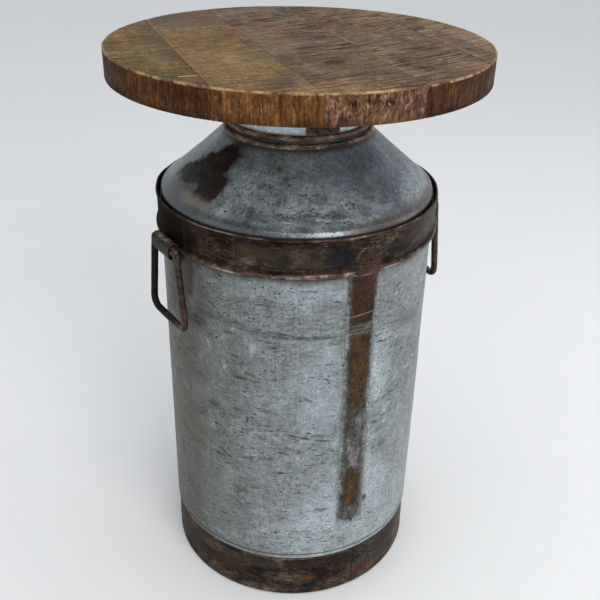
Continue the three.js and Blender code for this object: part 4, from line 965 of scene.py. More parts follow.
M_FOOT = rusty("rust_foot_hoop", 0.95, patches=[(8, 28, 3.2, 4.5, (0.150, 0.058, 0.016), 0.75), (-30, 34, 10, 9, (0.060, 0.026, 0.011), 0.6), (2, 51, 16, 6, (0.052, 0.018, 0.013), 0.5),
                                                (36, 22, 6, 8, (0.100, 0.026, 0.013), 0.65), (45, 32, 8, 14, (0.030, 0.024, 0.028), 0.5), (-60, 25, 14, 16, (0.070, 0.058, 0.040), 0.5),
                                                (-20, 48, 12, 6, (0.062, 0.053, 0.040), 0.5)],
               edges=[("z", 58.8, 61.0, 0.35), ("z", -1.0, 1.6, 0.4)], seed=3.0, laps=(30.2,), shade=0.25)
M_RING = rusty("rust_neck_rings", 3.2, edges=[("r", 80.7, 82.4, 0.55), ("r", 77.4, 79.2, 0.35)], seed=5.0, gloss=0.05)
M_PLATE = rusty("rust_neck_plate", 1.9, seed=6.0, edges=[("r", 77.2, 79.0, 0.8)])
M_BRACKET = rusty("rust_brackets", 0.62, edges=[("z", 455.4, 458.8, 0.45)], seed=8.0, gloss=0.05)
M_RIVET = rusty("rust_rivets", 1.0, seed=9.0, gloss=0.08)
M_SEAM = seam_material()
M_HANDLE_L = handle_material("handle_left_rod", 1.0, 1.10, (-0.143, -0.124))
M_HANDLE_R = handle_material("handle_right_rod", 4.0)


def b12_extra(m, c, u, v, z, r, e, cloud):
    # darker piece butted on at the back, with a thin joint across
    edge = m.math("ADD", m.math("ADD", v, m.math("MULTIPLY", u, 0.16)), m.math("MULTIPLY", e, 0.0008))
    back = m.step(edge, 0.0905, 0.0915)
    c = m.mix(m.math("MULTIPLY", back, 0.50), c, m.mix(cloud, (0.052, 0.036, 0.028), (0.150, 0.108, 0.080)))
    line = m.step(m.math("ABSOLUTE", m.math("SUBTRACT", edge, 0.0910)), 0.0003, 0.0013, 0.8, 0.0)
    return m.mix(line, c, (0.03, 0.020, 0.014))


def b1_extra(m, c, u, v, z, r, e, cloud):
    c = b12_extra(m, c, u, v, z, r, e, cloud)
    # small let-in repair near the front rim
    s = m.math("MULTIPLY", m.step(m.math("ABSOLUTE", m.math("SUBTRACT", u, -0.1430)), 0.0080, 0.0092, 1.0, 0.0), m.step(m.math("ABSOLUTE", m.math("SUBTRACT", v, -0.119)), 0.0095, 0.0110, 1.0, 0.0))
    c = m.mix(m.math("MULTIPLY", s, 0.75), c, m.mix(cloud, (0.10, 0.042, 0.020), (0.20, 0.10, 0.05)))
    t = m.math("MULTIPLY", m.step(m.math("ABSOLUTE", m.math("SUBTRACT", u, -0.1430)), 0.0085, 0.0095, 1.0, 0.0), m.step(m.math("ABSOLUTE", m.math("SUBTRACT", v, -0.1085)), 0.0010, 0.0018, 1.0, 0.0))
    return m.mix(t, c, (0.42, 0.27, 0.13))


def b2_extra(m, c, u, v, z, r, e, cloud):
    c = b12_extra(m, c, u, v, z, r, e, cloud)
    s = m.spot(u, v, -0.062, -0.150, 0.034, 0.014, e, 0.5)
    return m.mix(m.math("MULTIPLY", s, 0.45), c, (0.070, 0.058, 0.052))


WOODS = {
    1: wood(1, (0.056, 0.035, 0.014), (0.134, 0.083, 0.034), (0.241, 0.149, 0.061), (0.021, 0.009, 0.003), (0.058, 0.024, 0.007), (0.116, 0.048, 0.014), saw=0.55, seed=1.3, extra=b1_extra),
    2: wood(2, (0.065, 0.039, 0.017), (0.154, 0.094, 0.041), (0.277, 0.169, 0.074), (0.034, 0.015, 0.005), (0.094, 0.041, 0.014), (0.188, 0.082, 0.028), saw=0.75, seed=3.1, extra=b2_extra),
    3: wood(3, (0.056, 0.035, 0.019), (0.134, 0.084, 0.046), (0.241, 0.151, 0.083), (0.037, 0.019, 0.01), (0.104, 0.052, 0.029), (0.208, 0.104, 0.058), saw=0.95, seed=5.7, torn=(19, 16)),
    4: wood(4, (0.057, 0.036, 0.02), (0.136, 0.086, 0.048), (0.245, 0.155, 0.086), (0.0165, 0.0074, 0.0033), (0.0450, 0.0192, 0.0078), (0.0890, 0.0380, 0.0154), saw=1.0, seed=7.9),
    5: wood(5, (0.078, 0.051, 0.029), (0.186, 0.122, 0.068), (0.335, 0.22, 0.122), (0.0192, 0.0108, 0.0060), (0.0545, 0.0305, 0.0178), (0.1090, 0.0610, 0.0355), saw=0.95, seed=9.2),
}
M_BEECH = plain_wood("beech_disc", (0.33, 0.22, 0.12), (0.50, 0.36, 0.21))
M_SCREW = plated("zinc_plated_screws")

# ---------------------------------------------------------------- can: body sheet
N = 288
body_prof = [(149.1, 15.0), (149.1, 60.3), (150.4, 61.2), (152.1, 62.4), (152.85, 64.6), (152.9, 67.2), (152.45, 68.7), (152.9, 70.4),
             (152.9, 120), (152.9, BODY_TOP), (151.3, BODY_TOP), (151.3, 71.2), (150.9, 69.3), (151.2, 67.0), (151.1, 65.6), (150.2, 63.8),
             (148.2, 62.4), (147.5, 60.9), (147.5, 15.0)]
prof = dense(rounded(body_prof, [0.6, 1.5, 1.5, 1.5, 1.5, 0.8, 0.5, 0.8, 0, 0.6, 0.6, 0.8, 0.5, 0.8, 1.5, 1.5, 1.5, 1.5, 0.6], k=3), 4.5)
b = revolve(prof, N, dr=body_dr)
place(fix_normals(new_object("can_body_sheet", b.v, b.f, M_BODY)), "can", "zinc_body", "body_shell")


# soldered strap over the side seam: soft edges, ragged lower end
def seam_strap():
    n_s, n_t = 36, 230
    t = np.linspace(0, 1, n_t)
    z = SEAM_Z0 - 1 + t * (476.0 - SEAM_Z0 + 1)
    half = np.interp(z, [SEAM_Z0, 290, 476], [SEAM_END_W / 2, (SEAM_END_W + SEAM_TOP_W) / 4, SEAM_TOP_W / 2 - 1.5])
    half = half + 0.8 * hash_noise(z * 0.06, 1) + 0.35 * hash_noise(z * 0.23, 2)
    endr = np.sqrt(np.clip(1 - ((SEAM_Z0 + 7 - z) / 8.0) ** 2, 0, 1)) * (z < SEAM_Z0 + 7) + (z >= SEAM_Z0 + 7)
    toph = np.sqrt(np.clip(1 - ((z - 462) / 14.2) ** 2, 0, 1)) * (z > 462) + (z <= 462)
    half_l = half * np.maximum(endr, 0.05) * np.maximum(toph, 0.05)
    half_r = half_l + 0.6 * hash_noise(z * 0.09, 5)
    s = np.linspace(-1, 1, n_s)
    S, Z = np.meshgrid(s, z)
    HL = np.repeat(half_l[:, None], n_s, 1)
    HR = np.repeat(half_r[:, None], n_s, 1)
    off = np.where(S < 0, S * HL, S * HR)
    # small drip below the lower end
    drip = np.exp(-((off - 2.5) / 2.2) ** 2) * 9.0 * (1 - smooth(Z, SEAM_Z0 - 1, SEAM_Z0 + 6))
    drip2 = np.exp(-((off + 6.0) / 2.0) ** 2) * 4.0 * (1 - smooth(Z, SEAM_Z0 - 1, SEAM_Z0 + 5))
    Zd = Z - drip - drip2
    edge = np.clip((1 - np.abs(S)) * HL / 5.2, 0, 1)
    ends = np.clip((Z - SEAM_Z0 + 2) / 6.0, 0, 1)
    h = 0.12 + 1.05 * (edge * edge * (3 - 2 * edge)) * (0.25 + 0.75 * ends)
    h = h + 0.10 * np.sin(Z * 0.35 + 2 * S) * np.sin(Z * 0.11) * edge + 0.05 * np.sin(Z * 1.3) * edge
    h = np.minimum(h, 1.45)
    TH = SEAM_AZ * DEG + off / BODY_R
    base = BODY_R + body_dr(TH, Zd)
    Ro, Ri = base + 0.02 + h, base + 0.0
    Po = np.stack([Ro * np.sin(TH), -Ro * np.cos(TH), Zd], -1)
    Pi = np.stack([Ri * np.sin(TH), -Ri * np.cos(TH), Zd], -1)
    b = Build()
    a0 = b.wrap(Po, False, False)
    a1 = b.add(Pi)
    idx = lambda base, j, i: base + j * n_s + i
    for j in range(n_t - 1):
        for i in range(n_s - 1):
            b.f.append((idx(a1, j, i), idx(a1, j + 1, i), idx(a1, j + 1, i + 1), idx(a1, j, i + 1)))
        b.f.append((idx(a0, j, 0), idx(a0, j + 1, 0), idx(a1, j + 1, 0), idx(a1, j, 0)))
        b.f.append((idx(a0, j, n_s - 1), idx(a1, j, n_s - 1), idx(a1, j + 1, n_s - 1), idx(a0, j + 1, n_s - 1)))
    for i in range(n_s - 1):
        b.f.append((idx(a0, 0, i), idx(a1, 0, i), idx(a1, 0, i + 1), idx(a0, 0, i + 1)))
        b.f.append((idx(a0, n_t - 1, i), idx(a0, n_t - 1, i + 1), idx(a1, n_t - 1, i + 1), idx(a1, n_t - 1, i)))
    return b


b = seam_strap()
place(fix_normals(new_object("seam_strap_soldered", b.v, b.f, M_SEAM, sharp=60)), "can", "rusty_steel", "body_seam_strap")

# bottom disc with stiffening swages
BASE_R = 147.2
base_prof = [(0, 20.5), (30, 20.6), (60, 21.2), (84, 21.8), (88, 20.4), (94, 20.4), (98, 22.3), (118, 23.2), (140.7, 24.2), (144.4, 22.6), (145.6, 20.4), (145.6, 17.2),
             (147.2, 17.2), (147.2, 21), (145.6, 24.2), (141.7, 25.8), (118, 24.8), (98, 23.9), (94, 22.0), (88, 22.0), (84, 23.4), (60, 22.8), (30, 22.2), (0, 22.1)]
prof = dense(rounded(base_prof, 1.2, closed=False, k=3), 6.0, closed=False)
b = revolve_disc(prof, N)
place(fix_normals(new_object("can_bottom_dished", b.v, b.f, M_BASE)), "can", "zinc_shoulder", "base_plate")

# foot hoop
foot_prof = [(147.2, 0), (149.8, 0), (151.6, 1.9), (151.6, FOOT_H), (149.5, FOOT_H), (149.5, 3.4), (148.6, 2.4), (147.2, 2.2)]
prof = dense(rounded(foot_prof, [0.6, 1.2, 1.4, 0.75, 0.4, 0.8, 0.6, 0.6], k=4), 3.0)


def foot_dr(th, z):
    d = can_dr(th, z) * smooth(z, 0, 20)
    lap = 0.55 * smooth(wrap_deg(np.degrees(th) - 30.2), -0.25, 0.05) * (1 - smooth(wrap_deg(np.degrees(th) - 30.2), 1, 22))
    return d + (lap + 0.10 * np.sin(11 * th + 0.2 * z) + 0.06 * np.sin(31 * th + 0.4 * z)) * smooth(z, 3, 8)


b = revolve(prof, N * 2, dr=foot_dr)
place(fix_normals(new_object("foot_hoop_band", b.v, b.f, M_FOOT)), "can", "rusty_steel", "foot_hoop")

# upper hoop: swaged lower edge, thin turned rim, laps, and the bulge over the seam strap
hoop_prof = [(153.25, 443.4), (154.0, 442.6), (155.6, 442.7), (157.0, 443.9), (157.8, 446.0), (157.7, 448.2), (156.9, 450.2), (156.0, 451.8), (155.8, 453.4),
             (156.15, 457.5), (156.2, 480.6), (156.9, 482.6), (157.25, 484.4), (157.0, 486.0), (156.2, 486.4), (155.2, 486.3), (154.6, 484.8), (154.4, 480.4), (153.25, 479.6)]
prof = dense(rounded(hoop_prof, 0.9, k=3), 1.3)


def hoop_dr(th, z):
    d = can_dr(th, z)
    a = np.degrees(th)
    # bulge over the strap's round end
    s = wrap_deg(a - (SEAM_AZ + 0.9)) * DEG * 156.0
    top = np.where(z > 459, np.sqrt(s * s + (z - 459) ** 2), np.abs(s))
    bul = 1.9 * (1 - smooth(top, 12.6, 15.6))
    dim = -0.75 * np.exp(-((s - 1.0) ** 2 + (z - 459.5) ** 2) / 14.0)
    # laps: a small step that fades away on one side
    for az, hgt in ((-22.2, 0.55), (-46.5, 0.35)):
        q = wrap_deg(a - az)
        bul = bul + hgt * smooth(q, -0.22, 0.02) * (1 - smooth(q, 0.5, 16))
    # wavy, handled upper rim and uneven lower lip
    bul = bul + 0.28 * np.sin(7 * th + 0.6) * smooth(z, 470, 486) + 0.16 * np.sin(19 * th + 2.2) * smooth(z, 476, 486)
    bul = bul + 0.14 * np.sin(13 * th + 1.0) * (1 - smooth(z, 443, 452))
    bul = bul + 1.0 * np.exp(-((z - 447.6) ** 2) / 16.0) - 0.35 * np.exp(-((z - 455.0) ** 2) / 5.0)
    return d + (bul + dim) * np.where(near_handles(th) > 0.99, 1.0, near_handles(th))


def hoop_warp(TH, R, Z):
    up_ = smooth(Z, 476, 486)
    dn = 1 - smooth(Z, 443, 450)
    return R, Z + up_ * (0.35 * np.sin(5 * TH + 1.0) + 0.22 * np.sin(14 * TH)) + dn * (0.35 * np.sin(8 * TH + 2) + 0.2 * np.sin(21 * TH)) * near_handles(TH)


b = revolve(prof, N * 2, dr=hoop_dr, warp=hoop_warp)
place(fix_normals(new_object("upper_hoop_band", b.v, b.f, M_HOOP, sharp=50)), "can", "rusty_steel", "upper_hoop")

# shoulder cone
cone_prof = [(151.0, 460), (151.0, 469.6), (149.4, 474.8), (149.6, 479.6), (151.3, 482.6), (151.5, 486.4), (149.0, 490.8), (144.2, 494.0),
             (110, 523.4), (78.8, 551.4), (77.5, 552.6), (77.2, 554.0), (77.2, 556.6), (75.9, 556.6), (75.9, 553.4), (77.4, 550.6), (109, 522.2), (143.0, 491.6),
             (147.6, 489.2), (149.7, 485.8), (149.6, 483.0), (147.8, 480.0), (147.5, 475.2), (149.5, 469.2), (149.5, 460)]
prof = dense(rounded(cone_prof, [0.4, 3, 3, 2, 2.5, 4, 5, 6, 0, 1.5, 1.0, 1, 0.4, 0.4, 1, 1.5, 0, 6, 4, 2.5, 2, 2, 3, 3, 0.4], k=4), 3.0)


def cone_dr(th, z):
    k = 1 - smooth(z, 515, 548)
    d = can_dr(th, z) * 0.8 * k
    s = 0.0
    for az, zc, wa, wz, deep in [(-14, 512, 12, 9, 0.7), (30, 520, 14, 10, 0.8), (62, 505, 12, 9, 0.7), (-70, 522, 16, 10, 0.9), (140, 515, 18, 12, 1.0), (-150, 508, 14, 9, 0.8)]:
        s = s - deep * np.exp(-(wrap_deg(np.degrees(th) - az) / wa) ** 2 - ((z - zc) / wz) ** 2)
    rip = 0.10 * np.sin(13 * th + 0.09 * z) + 0.07 * np.sin(29 * th - 0.13 * z)
    return d + (s + rip) * smooth(z, 489, 496) * (1 - smooth(z, 535, 549))


b = revolve(prof, N, dr=cone_dr)
place(fix_normals(new_object("shoulder_cone_sheet", b.v, b.f, M_SHOULDER, sharp=55)), "can", "zinc_shoulder", "shoulder_cone")

# neck
neck_prof = [(76.6, 546.9), (75.4, 551.2), (75.4, 601.4), (76.6, 602.0), (78.3, 603.6), (79.0, 606.2), (78.3, 608.8), (76.4, 610.2),
             (74.4, 609.9), (73.3, 608.0), (73.4, 606.0), (73.8, 601.0), (73.8, 550.0), (75.5, 545.9)]
prof = dense(rounded(neck_prof, [0.5, 1.5, 1.2, 1.5, 1.5, 1.5, 1.5, 1.5, 1.5, 1.2, 1, 1, 1.5, 0.5], k=3), 3.0)
b = revolve(prof, 192, dr=lambda th, z: 0.12 * np.sin(3 * th + 0.5) + 0.07 * np.sin(8 * th + 0.2 * z))
place(fix_normals(new_object("neck_collar_sheet", b.v, b.f, M_NECK, sharp=55)), "can", "zinc_neck", "neck_collar")
ring1 = [(78.6, 552.2), (80.9, 549.9), (81.6, 551.2), (81.6, 553.0), (80.9, 554.8), (79.6, 555.6), (78.3, 555.6), (77.7, 554.4)]
b = revolve(dense(rounded(ring1, 0.9, k=3), 0.8), 256, dr=lambda th, z: 0.18 * np.sin(9 * th + 0.7) + 0.12 * np.sin(23 * th) + 0.07 * np.sin(41 * th + 1))
place(fix_normals(new_object("neck_ring_lower_bead", b.v, b.f, M_RING, sharp=60)), "can", "rusty_steel", "neck_ring_lower")
ring2 = [(75.75, 557.6), (77.2, 557.4), (78.2, 558.6), (78.3, 560.4), (77.8, 562.2), (76.9, 563.2), (75.75, 563.3)]
b = revolve(dense(rounded(ring2, 0.8, k=3), 0.8), 256, dr=lambda th, z: 0.15 * np.sin(7 * th + 1.7) + 0.10 * np.sin(19 * th) + 0.06 * np.sin(37 * th + 1))
place(fix_normals(new_object("neck_ring_upper_bead", b.v, b.f, M_RING, sharp=60)), "can", "rusty_steel", "neck_ring_upper")


# ---------------------------------------------------------------- sheets with thickness
def thick_sheet(P, Nrm, thick, bulge=0.3):
    """P[t][s] mid-surface points and normals; both faces and a rounded edge all round."""
    P, Nrm = np.asarray(P, float), np.asarray(Nrm, float)
    nt, ns = P.shape[:2]
    out, inn = P + Nrm * thick / 2, P - Nrm * thick / 2
    loop = ([(0, i) for i in range(ns)] + [(j, ns - 1) for j in range(1, nt)]
            + [(nt - 1, i) for i in range(ns - 2, -1, -1)] + [(j, 0) for j in range(nt - 2, 0, -1)])
    b = Build()
    a0, a1 = b.add(out), b.add(inn)
    for j in range(nt - 1):
        for i in range(ns - 1):
            q = [j * ns + i, j * ns + i + 1, (j + 1) * ns + i + 1, (j + 1) * ns + i]
            b.f.append(tuple(a0 + k for k in q))
            b.f.append(tuple(a1 + k for k in reversed(q)))
    mids = []
    m = len(loop)
    for k, (j, i) in enumerate(loop):
        pj, pi = loop[k - 1]
        nj, ni = loop[(k + 1) % m]
        tangent = P[nj, ni] - P[pj, pi]
        tangent /= max(1e-9, np.linalg.norm(tangent))
        outward = np.cross(tangent, Nrm[j, i])
        ci, cj = min(max(i, 1), ns - 2), min(max(j, 1), nt - 2)
        if outward @ (P[j, i] - P[cj, ci]) < 0:
            outward = -outward
        mids.append(P[j, i] + outward * thick * bulge)
    a2 = b.add(mids)
    for k in range(m):
        k2 = (k + 1) % m
        o1, o2 = a0 + loop[k][0] * ns + loop[k][1], a0 + loop[k2][0] * ns + loop[k2][1]
        i1, i2 = a1 + loop[k][0] * ns + loop[k][1], a1 + loop[k2][0] * ns + loop[k2][1]
        b.f.append((o1, a2 + k, a2 + k2, o2))
        b.f.append((a2 + k, i1, i2, a2 + k2))
    return b


def neck_plate():
    ns, nt = 28, 26
    rows, nrm = [], []
    for j in range(nt):
        z = 563.7 + (601.0 - 563.7) * j / (nt - 1)
        row, nr = [], []
        for i in range(ns):
            f = i / (ns - 1)
            az = (PLATE_AZ - PLATE_HALF + 2 * PLATE_HALF * f) * DEG
            r = 75.4 + 0.9 + 0.10 * math.sin(i * 0.9 + j * 0.4) + 0.08 * math.sin(j * 0.8)
            r += 0.7 * float(smooth(np.array(f), 0.90, 0.97))      # right edge turned up a little
            row.append((r * math.sin(az), -r * math.cos(az), z + 0.3 * math.sin(i * 0.5)))
            nr.append((math.sin(az), -math.cos(az), 0))
        rows.append(row)
        nrm.append(nr)
    return thick_sheet(rows, nrm, 1.1)


b = neck_plate()
place(fix_normals(new_object("neck_plate_curved", b.v, b.f, M_PLATE, sharp=70)), "can", "rusty_steel", "neck_seam_plate")


def dome(r, az, s, z, head_r, head_h, tilt=0.0, seed=0):
    """A hammered rivet head standing on a surface at radius r."""
    e, t = frame_at(az)
    n, rings = 40, 9
    rows = []
    for k in range(rings):
        f = k / (rings - 1)
        rr = head_r * math.cos(f * math.pi / 2) if k else head_r
        hh = head_h * math.sin(f * math.pi / 2)
        if k == rings - 1:
            rr = head_r * 0.12
        rows.append((rr, hh * (1 - 0.18 * f * f)))
    b = Build()
    pts = []
    for rr, hh in [(head_r * 0.96, -0.5)] + rows:
        row = []
        for i in range(n):
            a = 2 * math.pi * i / n
            wob = 1 + 0.05 * math.sin(3 * a + seed) + 0.03 * math.sin(7 * a + 2 * seed)
            p = e * (r + hh) + t * (s + rr * wob * math.cos(a)) + np.array([0, 0, z + rr * wob * math.sin(a)])
            row.append(p)
        pts.append(row)
    b0 = b.wrap(pts, True, False)
    b.fan([b0 + i for i in range(n)], e * (r - 0.5) + t * s + np.array([0, 0, z]), flip=True)
    last = b0 + (len(pts) - 1) * n
    b.fan([last + i for i in range(n)], e * (r + head_h * 0.83) + t * s + np.array([0, 0, z]))
    return b


def add_rivet(name, node, *args, **kw):
    b = dome(*args, **kw)
    place(fix_normals(new_object(name, b.v, b.f, M_RIVET, sharp=70)), "can", "rusty_steel", node)


add_rivet("hoop_rivet_head", "hoop_seam_rivet", 157.35, 28.2, 0, 459.5, 3.1, 0.7, seed=1)
add_rivet("plate_rivet_head_left", "plate_rivet_left", 76.9, PLATE_AZ - 9, 0, 585, 2.8, 1.2, seed=2)
add_rivet("plate_rivet_head_right", "plate_rivet_right", 76.9, PLATE_AZ + 9, 0, 585, 2.8, 1.2, seed=3)


# ---------------------------------------------------------------- handles and brackets
def bracket(az):
    e, t = frame_at(az)
    path = [(158.95, 438.5), (158.95, 444)]
    for a in np.linspace(180, 0, 17):
        path.append((PIVOT_R + 5.45 * math.cos(a * DEG), PIVOT_Z + 5.45 * math.sin(a * DEG)))
    path += [(169.85, 447), (169.6, 444), (168.9, 441.2), (167.2, 438.8), (164.6, 437.0), (161.6, 435.2), (158.6, 433.2), (156.4, 431.0), (155.2, 428.2), (154.85, 425.6), (154.8, 423.6)]
    pts = dense(path, 1.0, closed=False)
    # even spacing keeps the folds smooth
    seg = np.linalg.norm(np.diff(pts, axis=0), axis=1)
    L = np.concatenate([[0], np.cumsum(seg)])
    m = int(L[-1] / 0.75)
    q = np.linspace(0, L[-1], m)
    pts = np.stack([np.interp(q, L, pts[:, 0]), np.interp(q, L, pts[:, 1])], -1)
    for _ in range(3):
        pts[1:-1] = 0.25 * pts[:-2] + 0.5 * pts[1:-1] + 0.25 * pts[2:]
    tang = np.gradient(pts, axis=0)
    tang /= np.linalg.norm(tang, axis=1)[:, None]
    nor = np.stack([-tang[:, 1], tang[:, 0]], -1)
    ns = 41
    rows, nrm = [], []
    Lend = q[-1]
    zf = pts[:, 1]
    front = (q > Lend * 0.45)
    for j in range(m):
        if front[j] and zf[j] < 443.2:
            w = float(np.interp(zf[j], [423.6, 424.4, 426.2, 429.5, 434, 438.5, 441.2, 443.2], [3.2, 5.6, 8.0, 9.6, 11.6, 14.0, 16.6, 20.0]))
        else:
            w = 20.0
        row, nr = [], []
        for i in range(ns):
            f = -1 + 2 * i / (ns - 1)
            wob = 0.18 * math.sin(2.3 * f + j * 0.17) + 0.12 * math.sin(5.1 * f - j * 0.31)
            sag = -0.25 * (1 - f * f) if front[j] and zf[j] > 440 else 0.0
            p2 = pts[j] + nor[j] * (0.35 * wob + sag)
            row.append(e * p2[0] + t * (f * w + 0.2 * math.sin(j * 0.23)) + np.array([0, 0, p2[1]]))
            nr.append(e * nor[j][0] + np.array([0, 0, nor[j][1]]))
        rows.append(row)
        nrm.append(nr)
    return thick_sheet(rows, nrm, 1.6, 0.35)


def loop_path(az):
    e, t = frame_at(az)
    P = [(-LOOP_TOP, 0.0), (LOOP_TOP, 0.0), (LOOP_BOT, -LOOP_DROP), (-LOOP_BOT, -LOOP_DROP)]
    pts = rounded(P, [4.6, 4.6, 13, 13], k=14)
    pts = dense(pts, 1.6)
    out = []
    for s, h in pts:
        out.append(e * PIVOT_R + t * s + np.array([0, 0, PIVOT_Z + h]))
    return np.array(out), e, t


def handle(az, seed):
    pts, e, t = loop_path(az)
    n, nr = len(pts), 24
    seg = np.linalg.norm(np.roll(pts, -1, 0) - pts, axis=1)
    L = np.concatenate([[0], np.cumsum(seg)[:-1]])
    rows = []
    for j in range(n):
        tan = pts[(j + 1) % n] - pts[j - 1]
        tan /= np.linalg.norm(tan)
        side = np.cross(tan, e)
        side /= np.linalg.norm(side)
        bar = pts[j][2] > PIVOT_Z - 3.0
        row = []
        for i in range(nr):
            a = 2 * math.pi * i / nr
            w = 0.0 if bar else 0.05 * math.sin(L[j] * 0.21 + seed + 2 * a) + 0.035 * math.sin(L[j] * 0.47 + 3 * a + 2 * seed)
            rr = ROD_R - 0.05 + w
            row.append(pts[j] + e * rr * math.cos(a) + side * rr * math.sin(a))
        rows.append(row)
    b = Build()
    b.wrap(rows, True, True)
    return b


for side, az, mat, seed in (("left", LEFT_AZ, M_HANDLE_L, 1.0), ("right", RIGHT_AZ, M_HANDLE_R, 2.7)):
    b = bracket(az)
    place(fix_normals(new_object(f"{side}_bracket_folded", b.v, b.f, M_BRACKET, sharp=75)), "can", "rusty_steel", f"{side}_handle_bracket")
    b = handle(az, seed)
    place(fix_normals(new_object(f"{side}_handle_rod", b.v, b.f, mat, sharp=75)), f"{side}_handle", "handle_steel", f"{side}_handle")
    for tag, s in (("a", -4.4), ("b", 4.4)):
        add_rivet(f"{side}_bracket_rivet_head_{tag}", f"{side}_bracket_rivet_{tag}", 155.6, az, s, 427.8, 2.2, 1.1, seed=seed + s)

# ---------------------------------------------------------------- board top
ROT = np.array([[math.cos(BOARD_ANGLE * DEG), -math.sin(BOARD_ANGLE * DEG)], [math.sin(BOARD_ANGLE * DEG), math.cos(BOARD_ANGLE * DEG)]])
Z_TOP, Z_BOT = HEIGHT, HEIGHT - TOP_T


def rim_wear(th):
    """Radius of the worn arris on the rim, by angle in the board frame."""
    return 0.75 + 0.45 * np.abs(hash_noise(th * 9.0, 3)) + 0.8 * np.clip(hash_noise(th * 23.0, 7) - 0.35, 0, 1) * 2.0


